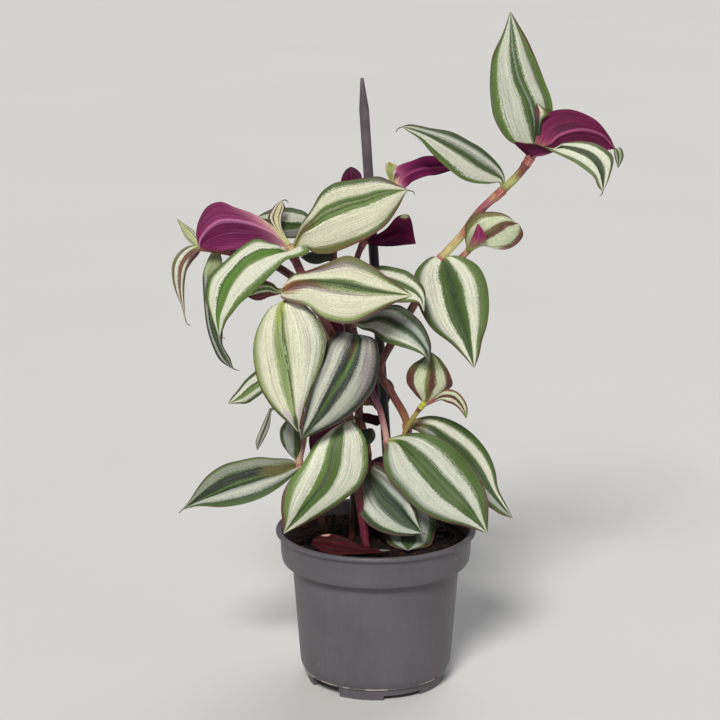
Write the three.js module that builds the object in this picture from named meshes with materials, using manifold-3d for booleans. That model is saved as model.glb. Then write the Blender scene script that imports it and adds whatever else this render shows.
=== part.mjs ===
// A potted tradescantia: striped leaves with purple undersides on arching stems, a support stake,
// and a round nursery pot full of soil. Millimetres, +Z up. The origin is the middle of the pot's
// underside, and the plant is seen from the front when looking along +Y.

import * as THREE from 'three';
import { mergeVertices } from 'three/addons/utils/BufferGeometryUtils.js';
import Module from 'manifold-3d';

const wasm = await Module();
wasm.setup();

// Driving dimensions

const clearance = 0.3; // between pieces that touch on the real plant

const potHeight = 83;
const lipRadius = 52.5;
const bandRadius = 49.8; // just above the band's rounded foot
const bandFoot = 65.5; // height where the band starts
const bodyTopRadius = 44;
const bodyFootRadius = 40; // at bodyFoot
const bodyFoot = 12;
const seamRadius = 38.2; // the thin ledge above the feet
const seamHeight = 6.8;
const footRadius = 36;
const footInnerRadius = 33.2;
const floorUnderside = 6.2;
const floorTop = 8;
const wallThickness = 1.3;
const potSides = 40;

const footCount = 5;
const footTurn = -12.7; // degrees from the front to the middle of the first foot, towards +X
const footSpan = 38; // degrees that one foot takes up
const notchHeights = [2.6, 2.6, 2.6, 2.6, 5.8]; // the gap after each foot
const padRadius = 7; // small round pad under the middle of the floor
const drainHoles = 5;
const drainRadius = 3.5;
const drainCircle = 23; // radius of the circle that the holes lie on

const soilHeight = 75.5;
const soilWave = 1.2; // how far the surface rises and falls

const stakeFoot = new THREE.Vector3(12.6, 15.4, 20);
const stakeTop = new THREE.Vector3(-7.3, 9, 318);
const stakeRadius = 2.6;
const stakeTaper = 16; // length of the pointed end
const stakeTipRadius = 0.9;
const stakeSides = 8;

const stemSides = 8;
const stemStep = 10; // length of one straight stretch of a stem
const shortStemSteps = 5; // fewest stretches in one

const leafThickness = 0.8;
const leafBaseHalfWidth = 1.4;
const leafTipHalfWidth = 0.4;
const cellsAcross = 4;
const cellsAlong = 8;
const narrowLeaf = 16; // leaves up to this width have half as many cells across

// Colours, as a material for each kind of piece

const finish = (color, roughness) => () => new THREE.MeshStandardMaterial({ color, roughness, metalness: 0 });
const greyPlastic = finish(0x68646a, 0.55);
const darkPlastic = finish(0x4d464f, 0.6);
const potting = finish(0x2b1a12, 0.95);
const stripedGreen = finish(0x9fb488, 0.45);
const bronzeGreen = finish(0x7b6a45, 0.45);
const purpleLeaf = finish(0x5a1840, 0.5);
const dryLeaf = finish(0x4a1420, 0.7);
const redStem = finish(0x6b3a33, 0.55);
const greenStem = finish(0xa9a860, 0.5);

const group = new THREE.Group();
group.name = 'potted_tradescantia';

// Solids: closed meshes in and out of the boolean library

function toSolid(geometry) {
  const bare = geometry.clone();
  bare.deleteAttribute('normal');
  bare.deleteAttribute('uv');
  const merged = mergeVertices(bare, 1e-4);
  return new wasm.Manifold(new wasm.Mesh({
    numProp: 3,
    vertProperties: new Float32Array(merged.attributes.position.array),
    triVerts: new Uint32Array(merged.index.array),
  }));
}

function toGeometry(solid) {
  const mesh = solid.getMesh();
  const geometry = new THREE.BufferGeometry();
  geometry.setAttribute('position', new THREE.BufferAttribute(mesh.vertProperties, 3));
  geometry.setIndex(new THREE.BufferAttribute(mesh.triVerts, 1));
  return geometry;
}

function add(name, solid, material) {
  const geometry = toGeometry(solid);
  geometry.computeVertexNormals();
  const mesh = new THREE.Mesh(geometry, material());
  mesh.name = name;
  group.add(mesh);
}

const degrees = THREE.MathUtils.degToRad;
const vector = ([x, y, z]) => new THREE.Vector3(x, y, z);

// A lathe turns its profile about Y, so the result is stood up along +Z
function turned(profile, sides) {
  const points = profile.map(([radius, height]) => new THREE.Vector2(radius, height));
  return new THREE.LatheGeometry(points, sides).rotateX(Math.PI / 2);
}

// Pot

function potProfile() {
  return [
    [0, 0], [padRadius, 0], [padRadius, floorUnderside],
    [footInnerRadius, floorUnderside], [footInnerRadius, 0], [footRadius, 0],
    [footRadius + 1, seamHeight - 0.7], [seamRadius, seamHeight - 0.5], [seamRadius, seamHeight],
    [bodyFootRadius - 0.7, seamHeight + 2.2], [bodyFootRadius, bodyFoot], [bodyTopRadius, bandFoot - 0.5],
    [bandRadius - 2, bandFoot], [bandRadius - 0.5, bandFoot + 1.6], [bandRadius, bandFoot + 4],
    [bandRadius + 0.5, potHeight - 2.8], [lipRadius - 0.2, potHeight - 2.2], [lipRadius, potHeight - 1],
    [lipRadius - 0.6, potHeight], [bandRadius + 0.4, potHeight],
    [bandRadius - wallThickness + 0.4, potHeight - 2.6], [bandRadius - wallThickness - 0.2, bandFoot + 4],
    [bandRadius - wallThickness - 2.6, bandFoot + 1.4], [bodyTopRadius - wallThickness, bandFoot - 1],
    [bodyFootRadius - wallThickness, bodyFoot], [bodyFootRadius - wallThickness - 2, floorTop], [0, floorTop],
  ];
}

// A block that clears the gap between two feet, from the first foot's edge to the next foot's
function footNotch(index, height) {
  const pitch = 360 / footCount;
  const start = degrees(footTurn + index * pitch + footSpan / 2 - 90);
  const end = degrees(footTurn + (index + 1) * pitch - footSpan / 2 - 90);
  const outline = new THREE.Shape();
  outline.absarc(0, 0, lipRadius, start, end, false);
  outline.absarc(0, 0, footInnerRadius - 1, end, start, true);
  const depth = height + 1;
  const block = new THREE.ExtrudeGeometry(outline, { depth, bevelEnabled: false, curveSegments: 3 });
  return toSolid(block.translate(0, 0, -1));
}

function drainHole(index) {
  const angle = degrees(footTurn + index * 360 / drainHoles);
  const hole = new THREE.CylinderGeometry(drainRadius, drainRadius, 4 * floorTop, 12).rotateX(Math.PI / 2);
  return toSolid(hole.translate(drainCircle * Math.sin(angle), -drainCircle * Math.cos(angle), 0));
}

function makePot() {
  let pot = toSolid(turned(potProfile(), potSides));
  notchHeights.forEach((height, index) => {
    pot = pot.subtract(footNotch(index, height));
  });
  for (let index = 0; index < drainHoles; index += 1) pot = pot.subtract(drainHole(index));
  return pot;
}

// Stake

function makeStake(extra = 0) {
  const length = stakeFoot.distanceTo(stakeTop);
  const radius = stakeRadius + extra;
  const profile = [
    [0, -extra], [radius, -extra], [radius, length - stakeTaper],
    [stakeTipRadius + extra, length + extra], [0, length + extra],
  ];
  const stake = turned(profile, stakeSides);
  const lean = new THREE.Quaternion().setFromUnitVectors(
    new THREE.Vector3(0, 0, 1), stakeTop.clone().sub(stakeFoot).normalize());
  return toSolid(stake.applyQuaternion(lean).translate(...stakeFoot.toArray()));
}

// Stems: a route of points from the root end up, and a radius

const stems = {
  stem_right: {
    radius: 2.1, material: redStem,
    route: [[9, 6, 55], [11, 4, 77], [14, 0, 114], [16, -1, 140], [9, 1, 154], [2.1, 3, 167], [8, 2, 182],
      [20, 0, 203.5], [32.5, -2, 226.5], [43.5, -3, 239.5], [52.5, -3, 252], [64, -3, 262.7], [72.4, -4, 271.6],
      [79.8, -5, 283.5]],
  },
  stem_left: {
    radius: 2.2, material: redStem,
    route: [[-4, -7, 55], [-5.2, -9, 75.4], [-7.3, -12, 93], [-9.3, -14, 107.3], [-13.4, -15, 145],
      [-16, -15, 160], [-21, -17, 186.4], [-27.4, -20, 201], [-36.5, -26, 222], [-40.2, -27, 230.5],
      [-43.8, -27, 239]],
  },
  stem_middle: {
    radius: 2.1, material: redStem,
    route: [[4.5, 2, 55], [5.2, 1, 76.5], [6.4, -2, 98.4], [5.7, -4, 130.3], [1, -2, 150], [-3.1, -1, 158.7],
      [-9, 1, 181], [-12.4, 1, 193.3], [-12.4, 2, 210], [-9.8, 3, 226.5], [-5.7, 3, 236], [4, 3, 250.4],
      [12.5, 3, 262]],
  },
  stem_dark: {
    radius: 2, material: redStem,
    route: [[-14, 6, 55], [-12.5, 4, 76.6], [-11, 3, 114], [-9.5, 3, 138], [-8.5, -1, 155.5], [-11, -8, 173],
      [-14, -12, 190], [-17.4, -11, 208], [-21, -9, 224], [-22.5, -8, 236.5]],
  },
  stem_low_left: {
    radius: 1.8, material: redStem,
    route: [[-21, -1, 58], [-25, -3, 75], [-32, -6, 99.6], [-39.5, -8, 120], [-37.5, -5, 134], [-40, -2, 150],
      [-43, -1, 168]],
  },
  stem_far_left: {
    radius: 2, material: redStem, grownFrom: 'stem_left',
    route: [[-36, -26, 220], [-42, -24.5, 222.5], [-50, -22, 227], [-70, -17, 233], [-88.5, -14, 236]],
  },
  shoot_axil: {
    radius: 1.3, material: redStem, grownFrom: 'stem_right',
    route: [[31, -2, 224], [36, -0.5, 223], [40.5, 0, 225], [44.5, -1, 228.5], [47, -2, 231.5]],
  },
  shoot_side: {
    radius: 1.5, material: greenStem, grownFrom: 'stem_right',
    route: [[14, 0, 116], [14, -3.6, 124], [14.8, -5, 135.7], [18.5, -7.5, 143.5], [22.6, -9, 150],
      [25.2, -9, 153]],
  },
  stem_back: {
    radius: 2, material: redStem,
    route: [[-2, 20, 55], [-2, 24, 76], [-3, 30, 100], [-6, 33, 124], [-13, 33, 150], [-22, 28, 172],
      [-29, 22, 190]],
  },
};

function smoothCurve(points) {
  return new THREE.CatmullRomCurve3(points.map(vector), false, 'centripetal');
}

// The point of a stem's middle line that lies nearest to a leaf's base
function nodeOnStem(name, base) {
  const target = vector(base);
  const points = smoothCurve(stems[name].route).getPoints(240);
  points.sort((a, b) => a.distanceTo(target) - b.distanceTo(target));
  return points[0].toArray();
}

// A larger extra gives the cutter that keeps the clearance all round, past both ends too
function stemSolid(name, extra = 0) {
  const { radius, route } = stems[name];
  const points = route.map(vector);
  const past = (end, before) => end.clone().add(end.clone().sub(before).setLength(extra)).toArray();
  const ends = extra ? [[past(points[0], points[1])], [past(points.at(-1), points.at(-2))]] : [[], []];
  const curve = smoothCurve([...ends[0], ...route, ...ends[1]]);
  const section = new THREE.Shape(Array.from({ length: stemSides }, (_, side) => {
    const angle = 2 * Math.PI * side / stemSides;
    return new THREE.Vector2(Math.cos(angle), Math.sin(angle)).multiplyScalar(radius + extra);
  }));
  const steps = Math.max(shortStemSteps, Math.ceil(curve.getLength() / stemStep));
  return toSolid(new THREE.ExtrudeGeometry(section, { steps, extrudePath: curve, bevelEnabled: false }));
}

// Leaves. The spine runs from the stem to the tip, and face is the way the upper side looks, one value or
// a few from base to tip. rise lifts the two halves from the midrib and droop bends them over to the edge,
// in degrees. lobe is how far the rounded base reaches back, and skew widens one half. In the outline,
// neck narrows the base, tip narrows the point, and a larger peak moves the widest place to the tip.
// clears names the neighbours that the leaf is cut back from.

function alongLeaf(values, v) {
  const list = Array.isArray(values[0]) ? values : [values];
  const place = v * (list.length - 1);
  const index = Math.min(Math.floor(place), list.length - 2);
  if (list.length === 1) return vector(list[0]);
  return vector(list[index]).lerp(vector(list[index + 1]), place - index);
}

function outlineWidth(v, { neck = 0.7, tip = 1.1, peak = 0.75 }) {
  return Math.sin(Math.PI * v ** peak) ** (neck + (tip - neck) * v);
}

function leafSection(leaf, curve, v, cells, extra) {
  const centre = curve.getPoint(v);
  const along = curve.getTangent(v);
  const upper = alongLeaf(leaf.face, v);
  upper.addScaledVector(along, -upper.dot(along)).normalize();
  const across = along.clone().cross(upper);
  const [riseBase, riseTip] = Array.isArray(leaf.rise) ? leaf.rise : [leaf.rise, leaf.rise];
  const rise = riseBase + (riseTip - riseBase) * v;
  const endHalfWidth = leafBaseHalfWidth + (leafTipHalfWidth - leafBaseHalfWidth) * v;
  return Array.from({ length: cells + 1 }, (_, column) => {
    const u = 2 * column / cells - 1;
    const reach = Math.abs(u);
    const side = Math.sign(u);
    const outline = Math.max(leaf.width / 2 * outlineWidth(v, leaf), endHalfWidth);
    const half = outline * (1 + side * (leaf.skew ?? 0)) + extra;
    const angle = degrees(rise - leaf.droop * reach / 2);
    return centre.clone()
      .addScaledVector(across, side * half * reach * Math.cos(angle))
      .addScaledVector(upper, half * reach * Math.sin(angle))
      .addScaledVector(along, -leaf.lobe * reach * reach * Math.min(1, 8 * v) * (1 - v) ** 4)
      .addScaledVector(along, 2 * extra * (2 * v - 1))
      .toArray()
      .concat(upper.toArray());
  });
}

// A larger extra gives the cutter that keeps the clearance round this leaf
function leafSolid(leaf, extra = 0) {
  const [base, ...rest] = leaf.spine;
  const curve = smoothCurve([leaf.stem ? nodeOnStem(leaf.stem, base) : base, ...rest]);
  const cells = leaf.width > narrowLeaf ? cellsAcross : cellsAcross / 2;
  const positions = [];
  for (let row = 0; row <= cellsAlong; row += 1) {
    for (const [x, y, z, nx, ny, nz] of leafSection(leaf, curve, row / cellsAlong, cells, extra)) {
      for (const offset of [leafThickness / 2 + extra, -leafThickness / 2 - extra]) {
        positions.push(x + nx * offset, y + ny * offset, z + nz * offset);
      }
    }
  }
  const top = (row, column) => 2 * (row * (cells + 1) + column);
  const bottom = (row, column) => top(row, column) + 1;
  const index = [];
  const quad = (a, b, c, d) => index.push(a, b, c, a, c, d);
  for (let row = 0; row < cellsAlong; row += 1) {
    for (let column = 0; column < cells; column += 1) {
      quad(top(row, column), top(row, column + 1), top(row + 1, column + 1), top(row + 1, column));
      quad(bottom(row, column), bottom(row + 1, column), bottom(row + 1, column + 1), bottom(row, column + 1));
    }
    quad(top(row, 0), top(row + 1, 0), bottom(row + 1, 0), bottom(row, 0));
    quad(bottom(row, cells), bottom(row + 1, cells), top(row + 1, cells), top(row, cells));
  }
  for (let column = 0; column < cells; column += 1) {
    quad(top(0, column), bottom(0, column), bottom(0, column + 1), top(0, column + 1));
    const [near, far] = [top(cellsAlong, column), top(cellsAlong, column + 1)];
    quad(near, far, far + 1, near + 1);
  }
  const geometry = new THREE.BufferGeometry();
  geometry.setAttribute('position', new THREE.Float32BufferAttribute(positions, 3));
  geometry.setIndex(index);
  return toSolid(geometry);
}

const leaves = {
  // Right-hand shoot, from the top down
  leaf_top: {
    stem: 'stem_right', width: 28, skew: -0.1, rise: 12, droop: 34, lobe: 6, neck: 0.6, tip: 0.95,
    spine: [[79.8, -5, 284], [74.5, -7, 306], [69, -7, 328], [66.7, -2, 351.5]],
    face: [[-0.35, -1, 0.1], [0.2, -1, 0.2]],
  },
  leaf_arching: {
    stem: 'stem_right', width: 20, rise: 16, droop: 36, lobe: 2,
    clears: ['leaf_lower_right', 'leaf_top'],
    spine: [[79.6, -5, 282], [87.5, 0, 288.5], [96.5, 2, 291.5], [106, 1, 291], [114, -2, 286.5],
      [119.5, -7, 275.5]],
    face: [[0, 1, -0.1], [0, 1, -0.1], [0.2, 1, 0], [1, -0.4, 0]],
  },
  leaf_lower_right: {
    stem: 'stem_right', clears: ['leaf_top'], width: 28, rise: [62, 0], droop: 20, lobe: 17,
    spine: [[78.5, -5, 279], [90, -13, 283.5], [104, -19, 281.5], [111.6, -23, 273.2], [110.9, -27, 262.8]],
    face: [[0, -0.1, 1], [0.1, -0.25, 1], [0.5, -0.85, 0.3]],
  },
  leaf_young_top: {
    stem: 'stem_right', width: 9, rise: [50, 30], droop: 10, lobe: 0,
    clears: ['leaf_lower_right', 'leaf_top'],
    spine: [[80, -5, 284], [83, -11, 297], [80.4, -12, 307]], face: [0.4, -1, 0.2],
  },
  leaf_reaching: {
    stem: 'stem_right', width: 31, rise: 8, droop: 52, lobe: 0, neck: 1.6, peak: 0.85,
    spine: [[63.6, -3, 263], [61.5, -4, 269.5], [54, -6, 276], [41, -9, 285], [25, -12, 293], [10.5, -12, 295]],
    face: [[0, -0.5, 0.85], [0, -0.36, 0.93]],
  },
  leaf_small_right: {
    stem: 'shoot_axil', clears: ['stem_right'], width: 21, rise: 8, droop: 50, lobe: 0, neck: 0.75, tip: 0.5,
    spine: [[47.2, -2.5, 231.5], [56, -11, 240], [66, -11, 244.5], [73.4, -5, 243.5]],
    face: [[0.1, -1, 0.3], [0.5, -1, 0.2]],
  },
  bract_right: {
    stem: 'shoot_axil', clears: ['leaf_small_right'], width: 7, rise: 30, droop: 10, lobe: 0, neck: 1,
    spine: [[46.8, -2.5, 231], [49.6, -13.5, 239], [51.6, -14, 246.5]], face: [-0.2, 1, 0],
  },
  leaf_hanging_right: {
    stem: 'stem_right', clears: ['shoot_axil'], width: 38, rise: 10, droop: 36, lobe: 3,
    spine: [[33.5, -3, 228], [37.5, -8, 212.3], [43.1, -9, 192.4], [49.8, -13, 173.2]], face: [0.05, -1, 0.15],
  },

  // Left-hand shoot
  leaf_purple_left: {
    stem: 'stem_left', clears: ['leaf_drooping'], width: 25, skew: 0.1, rise: 12, droop: 40, lobe: 0,
    neck: 1.9, peak: 1.35, tip: 0.7,
    spine: [[-43.8, -27, 239], [-56, -25, 246], [-66, -25, 248.5], [-75.5, -26, 249.5], [-84, -27, 247],
      [-88, -28, 240.5]],
    face: [[0, 1, -0.1], [0, 1, -0.3]],
  },
  leaf_drooping: {
    stem: 'stem_left', width: 25, rise: 12, droop: 30, lobe: 6,
    spine: [[-42.8, -27, 235], [-56, -36, 236], [-68, -40, 230.6], [-75.2, -41, 218.6], [-77.3, -41, 207.4],
      [-77.1, -39, 196.5]],
    face: [[0, -0.7, 0.7], [-0.5, -0.9, 0.2]],
  },
  leaf_bud_left: {
    stem: 'stem_left', clears: ['leaf_behind_left', 'leaf_purple_left', 'leaf_drooping'], width: 9,
    rise: [50, 30], droop: 10, lobe: 0,
    spine: [[-42.5, -27, 236], [-49.5, -20, 245], [-51, -19, 252], [-46.5, -19, 259.5]], face: [0.3, -1, 0],
  },
  leaf_tip_down: {
    stem: 'stem_far_left', width: 9, rise: 35, droop: 20, lobe: 0, neck: 1,
    spine: [[-88.5, -14, 236], [-93.5, -18, 232.6], [-97, -21, 225], [-97.5, -22, 216.5], [-96.5, -22, 208.7],
      [-95, -20, 198]],
    face: [[-0.2, -0.6, 1], [-0.8, -0.9, 0.1]],
  },
  leaf_tip_up: {
    stem: 'stem_far_left', clears: ['leaf_tip_down'], width: 7, rise: 45, droop: 10, lobe: 0, neck: 1,
    spine: [[-88, -14, 236], [-94.5, -11, 243.5], [-100, -10, 248.5]], face: [-0.2, -0.8, 0.6],
  },
  leaf_long_left: {
    stem: 'stem_far_left', width: 18, rise: 25, droop: 20, lobe: 0,
    spine: [[-80.5, -15.5, 233], [-82, -21, 222], [-82.5, -23, 207], [-80, -22, 189.6], [-71.1, -18, 171.3]],
    face: [[-0.7, -0.5, 0.4], [-1, -0.35, 0.1]],
  },
  leaf_large_upper: {
    stem: 'stem_left', width: 35, rise: 12, droop: 36, lobe: 0, neck: 1.3, peak: 0.9,
    spine: [[-42.7, -27, 235], [-28.5, -30, 249.5], [-12, -31, 256.7], [4.1, -29, 263], [14.5, -26, 265.5]],
    face: [0, -0.9, 0.42],
  },
  leaf_behind_left: {
    stem: 'stem_dark', width: 30, rise: 12, droop: 36, lobe: 3,
    spine: [[-22.5, -8.5, 236], [-36, -12, 244.5], [-51, -13, 246], [-65, -12, 240.5]], face: [0, -0.5, 0.85],
  },

  // Middle
  leaf_large_middle: {
    stem: 'stem_left', clears: ['stem_far_left'], width: 36, rise: 12, droop: 36, lobe: 0,
    neck: 1.4, peak: 0.9,
    spine: [[-37.5, -26, 222], [-37, -35, 221.5], [-22, -38, 220.6], [-3, -40, 218.9], [17.5, -39, 216.6]],
    face: [0, -0.9, 0.45],
  },
  leaf_large_hanging: {
    stem: 'stem_left', width: 35, skew: -0.08, rise: 12, droop: 36, lobe: 0, peak: 0.85, tip: 0.9,
    spine: [[-34, -25, 214], [-44, -35, 208.5], [-45.7, -40, 195.4], [-42.8, -42, 172.5], [-39.6, -38, 142.3]],
    face: [-0.05, -1, 0.15],
  },
  leaf_hanging_middle: {
    stem: 'stem_dark', clears: ['stem_left'], width: 33, rise: 12, droop: 36, lobe: 1, peak: 0.8,
    spine: [[-13.5, -13, 191], [-13.5, -26, 184], [-16.5, -30, 170], [-24, -33, 157], [-38.3, -31, 140]],
    face: [[0.15, -0.8, 0.6], [0.1, -1, 0.2]],
  },
  leaf_curling_low: {
    stem: 'stem_middle', width: 25, rise: 12, droop: 36, lobe: 0,
    spine: [[-11.8, 1, 195], [-4, -10, 200], [7, -16, 198.5], [18, -21, 191], [25.1, -23, 181.5],
      [24.6, -23, 175]],
    face: [[0.1, -0.6, 0.8], [0.5, -0.8, 0.4]],
  },
  leaf_curling_high: {
    stem: 'stem_middle', width: 22, rise: 12, droop: 36, lobe: 0,
    spine: [[-12, 1, 213], [-3, -8, 217], [8, -14, 216.5], [18, -18, 211.5], [24.3, -19, 200.5]],
    face: [[0, -0.7, 0.8], [0.5, -0.9, 0.3]],
  },
  leaf_small_bronze: {
    stem: 'stem_left', clears: ['leaf_large_middle', 'stem_far_left'], width: 10,
    rise: 20, droop: 20, lobe: 0, neck: 1.2, peak: 1.3,
    spine: [[-36, -26, 219.5], [-44, -32, 217], [-55, -34, 217.2], [-65.1, -34, 214]], face: [0, -0.8, 0.6],
  },
  leaf_purple_back: {
    stem: 'stem_middle', width: 13, rise: 10, droop: 20, lobe: 0,
    spine: [[-6.5, 3, 235.5], [-13, 9, 250], [-14.5, 16, 262.5], [-15, 23, 268], [-16, 30, 263]],
    face: [0.2, 1, 0.3],
  },
  leaf_purple_top: {
    stem: 'stem_middle', width: 15, rise: 12, droop: 30, lobe: 1, neck: 0.5,
    spine: [[12.5, 3, 261], [15.5, 6, 266], [25, 8, 270.5], [37, 10, 273], [50, 10, 273.5]], face: [0, 1, -0.1],
  },
  leaf_bud_middle: {
    stem: 'stem_middle', width: 5, rise: 40, droop: 10, lobe: 0,
    spine: [[10, 3, 259], [6, 0, 269], [6.2, -0.5, 275.5]], face: [-0.4, -1, 0],
  },
  leaf_purple_middle: {
    stem: 'stem_middle', width: 34, rise: 74, droop: 6, lobe: 0, neck: 1, peak: 2.2, tip: 0.8,
    spine: [[-5.7, 3, 236], [0, -1.5, 233], [8, -3, 232.4], [20.2, -2, 234.3]], face: [0, 0.15, 1],
  },
  leaf_edge_on: {
    stem: 'stem_dark', width: 21, rise: 10, droop: 20, lobe: 0,
    spine: [[-21, -9, 225], [-27, -13, 229], [-37.5, -15, 230]], face: [0, -0.1, 1],
  },

  // Low leaves
  leaf_low_left: {
    stem: 'stem_low_left', width: 23, rise: 12, droop: 36, lobe: 0,
    spine: [[-39.8, -8, 119], [-58, -15, 116.8], [-79, -18, 110.2], [-92, -18, 101.6], [-102.5, -17, 96.6]],
    face: [-0.1, -0.75, 0.65],
  },
  leaf_left_small: {
    stem: 'stem_low_left', width: 17, rise: 12, droop: 30, lobe: 0,
    spine: [[-43, -1.5, 167], [-58, -8, 164.3], [-69, -10, 156.8], [-77, -10, 152]], face: [-0.2, -0.7, 0.65],
  },
  leaf_left_sliver: {
    stem: 'stem_low_left', width: 7, rise: 45, droop: 10, lobe: 0, neck: 1.6, peak: 1.1,
    spine: [[-40, -2, 150.5], [-50, -7, 150.5], [-56.5, -8, 142], [-61.7, -8, 127.3]], face: [-0.7, -0.7, 0.4],
  },
  leaf_upright: {
    stem: 'stem_low_left', width: 18, rise: 12, droop: 30, lobe: 0,
    spine: [[-38, -6, 127], [-40.5, -10.5, 133], [-41, -11, 144], [-39, -10, 154]], face: [-0.2, -1, 0],
  },
  leaf_front: {
    stem: 'stem_left', width: 37, skew: 0.1, rise: 12, droop: 36, lobe: 3, peak: 0.65, tip: 1.2,
    spine: [[-13.8, -16, 146], [-21, -29, 132.9], [-29.2, -33, 112.8], [-38.5, -31, 99.1], [-47.4, -26, 88.4]],
    face: [[0.05, -1, 0.3], [-0.2, -1, 0.4]],
  },
  leaf_shaded: {
    stem: 'stem_middle', clears: ['stem_left'], width: 29, rise: 12, droop: 36, lobe: 0,
    spine: [[5.5, -3, 118], [3.5, -8, 109.5], [8.5, -14, 100], [16, -20, 92.5], [23, -24, 88]],
    face: [[-0.45, -0.8, 0.5], [0, -0.9, 0.5]],
  },
  leaf_large_right: {
    stem: 'stem_middle', clears: ['shoot_side', 'stem_right'], width: 39, skew: -0.15, rise: 12, droop: 36,
    lobe: 3, peak: 0.95, tip: 0.75,
    spine: [[5.9, -4, 131], [11, -13, 129.5], [21.6, -19, 121.6], [37.9, -25, 106.6], [56.9, -28, 89.9]],
    face: [0.1, -0.9, 0.45],
  },
  leaf_behind_right: {
    stem: 'stem_right', clears: ['leaf_large_right'], width: 28, rise: 12, droop: 36, lobe: 0, neck: 1.2,
    peak: 0.85, tip: 0.85,
    spine: [[16.1, -1, 140], [25, -1, 136], [39.4, -3, 125], [55, -7, 109.5], [71.3, -11, 90.9]],
    face: [0.2, -0.85, 0.5],
  },
  leaf_in_pot: {
    stem: 'stem_right', width: 25, rise: 10, droop: 30, lobe: 0, peak: 1.1, tip: 0.5,
    spine: [[14, 0, 109], [18.5, -7, 100], [19.5, -12, 88], [18.5, -21, 79.5]], face: [0.05, -0.9, 0.4],
  },
  leaf_dry: {
    width: 17, rise: 8, droop: 20, lobe: 0,
    spine: [[-34, -17, 80.5], [-20, -21, 80.5], [-6, -22, 80], [8, -20, 79.5]], face: [0, -0.5, 0.87],
  },
  leaf_dark_small: {
    stem: 'stem_dark', width: 9, rise: 8, droop: 20, lobe: 0, neck: 1,
    spine: [[-9.8, 3, 134], [-5.2, -1, 131], [-1.5, -1, 125]], face: [0.2, -1, 0],
  },
  leaf_dark_back: {
    stem: 'stem_dark', width: 9, rise: 8, droop: 20, lobe: 0,
    spine: [[-9.2, 2, 142], [-4, 6, 142], [1.8, 7, 138]], face: [0, 1, 0.1],
  },

  // Young side shoot
  leaf_bronze_up: {
    stem: 'shoot_side', width: 24, rise: 10, droop: 40, lobe: 0, neck: 0.9, tip: 0.9,
    spine: [[25, -9, 153], [26.3, -13, 163.4], [28, -13, 174], [28, -10, 180]], face: [0, -1, 0.1],
  },
  leaf_bronze_side: {
    stem: 'shoot_side', clears: ['leaf_bronze_up'], width: 9, rise: 30, droop: 20, lobe: 0, neck: 1.1,
    spine: [[24, -9, 151], [33.5, -18, 158.2], [41, -19, 157], [46, -19, 145.5]], face: [0.3, -0.6, 0.8],
  },

  // Back of the plant
  leaf_back_low: {
    stem: 'stem_back', width: 34, rise: 12, droop: 36, lobe: 3,
    spine: [[-2.5, 27, 95], [6, 40, 104], [16, 50, 98], [24, 60, 80]], face: [0.2, 0.8, 0.6],
  },
  leaf_back_left: {
    stem: 'stem_back', width: 34, rise: 12, droop: 36, lobe: 3,
    spine: [[-5, 33, 120], [-14, 43, 126], [-26, 52, 116], [-34, 57, 98]], face: [-0.3, 0.8, 0.6],
  },
  leaf_back_right: {
    stem: 'stem_back', width: 30, rise: 12, droop: 36, lobe: 3,
    spine: [[-10, 33, 142], [-5, 42, 150], [0, 49, 145], [4, 53, 128]], face: [0.3, 0.8, 0.5],
  },
  leaf_back_upper: {
    stem: 'stem_back', width: 32, rise: 12, droop: 36, lobe: 3,
    spine: [[-20, 29, 168], [-27, 38, 176], [-34, 44, 170], [-40, 46, 152]], face: [-0.3, 0.8, 0.5],
  },
  leaf_back_tip: {
    stem: 'stem_back', width: 26, rise: 12, droop: 36, lobe: 0,
    spine: [[-28, 23, 187], [-22, 33, 197], [-18, 41, 202], [-14, 49, 197]], face: [0, 0.4, 0.9],
  },
  leaf_back_top: {
    stem: 'stem_back', width: 14, rise: 30, droop: 20, lobe: 0,
    spine: [[-29, 22, 190], [-33, 19, 198], [-35, 17, 206], [-34, 16, 215]], face: [0.6, 0.6, 0.3],
  },
};

const purpleLeaves = ['leaf_arching', 'bract_right', 'leaf_purple_left', 'leaf_purple_back', 'leaf_purple_top',
  'leaf_purple_middle', 'leaf_dark_back'];
const bronzeLeaves = ['leaf_small_right', 'leaf_bud_left', 'leaf_tip_down', 'leaf_tip_up', 'leaf_small_bronze',
  'leaf_bronze_up', 'leaf_bronze_side', 'leaf_young_top'];

function leafMaterial(name) {
  if (name === 'leaf_dry') return dryLeaf;
  if (purpleLeaves.includes(name)) return purpleLeaf;
  return bronzeLeaves.includes(name) ? bronzeGreen : stripedGreen;
}

// Assembly

add('pot', makePot(), greyPlastic);
add('stake', makeStake(), darkPlastic);

for (const [name, stem] of Object.entries(stems)) {
  let solid = stemSolid(name);
  if (stem.grownFrom) solid = solid.subtract(stemSolid(stem.grownFrom, clearance));
  add(name, solid, stem.material);
}

const cutter = (name) => (stems[name] ? stemSolid(name, clearance) : leafSolid(leaves[name], clearance));

function largestPart(solid) {
  return solid.decompose().sort((a, b) => b.volume() - a.volume())[0];
}

for (const [name, leaf] of Object.entries(leaves)) {
  let solid = leafSolid(leaf);
  for (const neighbour of [leaf.stem, ...(leaf.clears ?? [])]) {
    if (neighbour) solid = solid.subtract(cutter(neighbour));
  }
  add(name, largestPart(solid), leafMaterial(name));
}

// Soil fills the pot and closes round the stems and the stake

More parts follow.
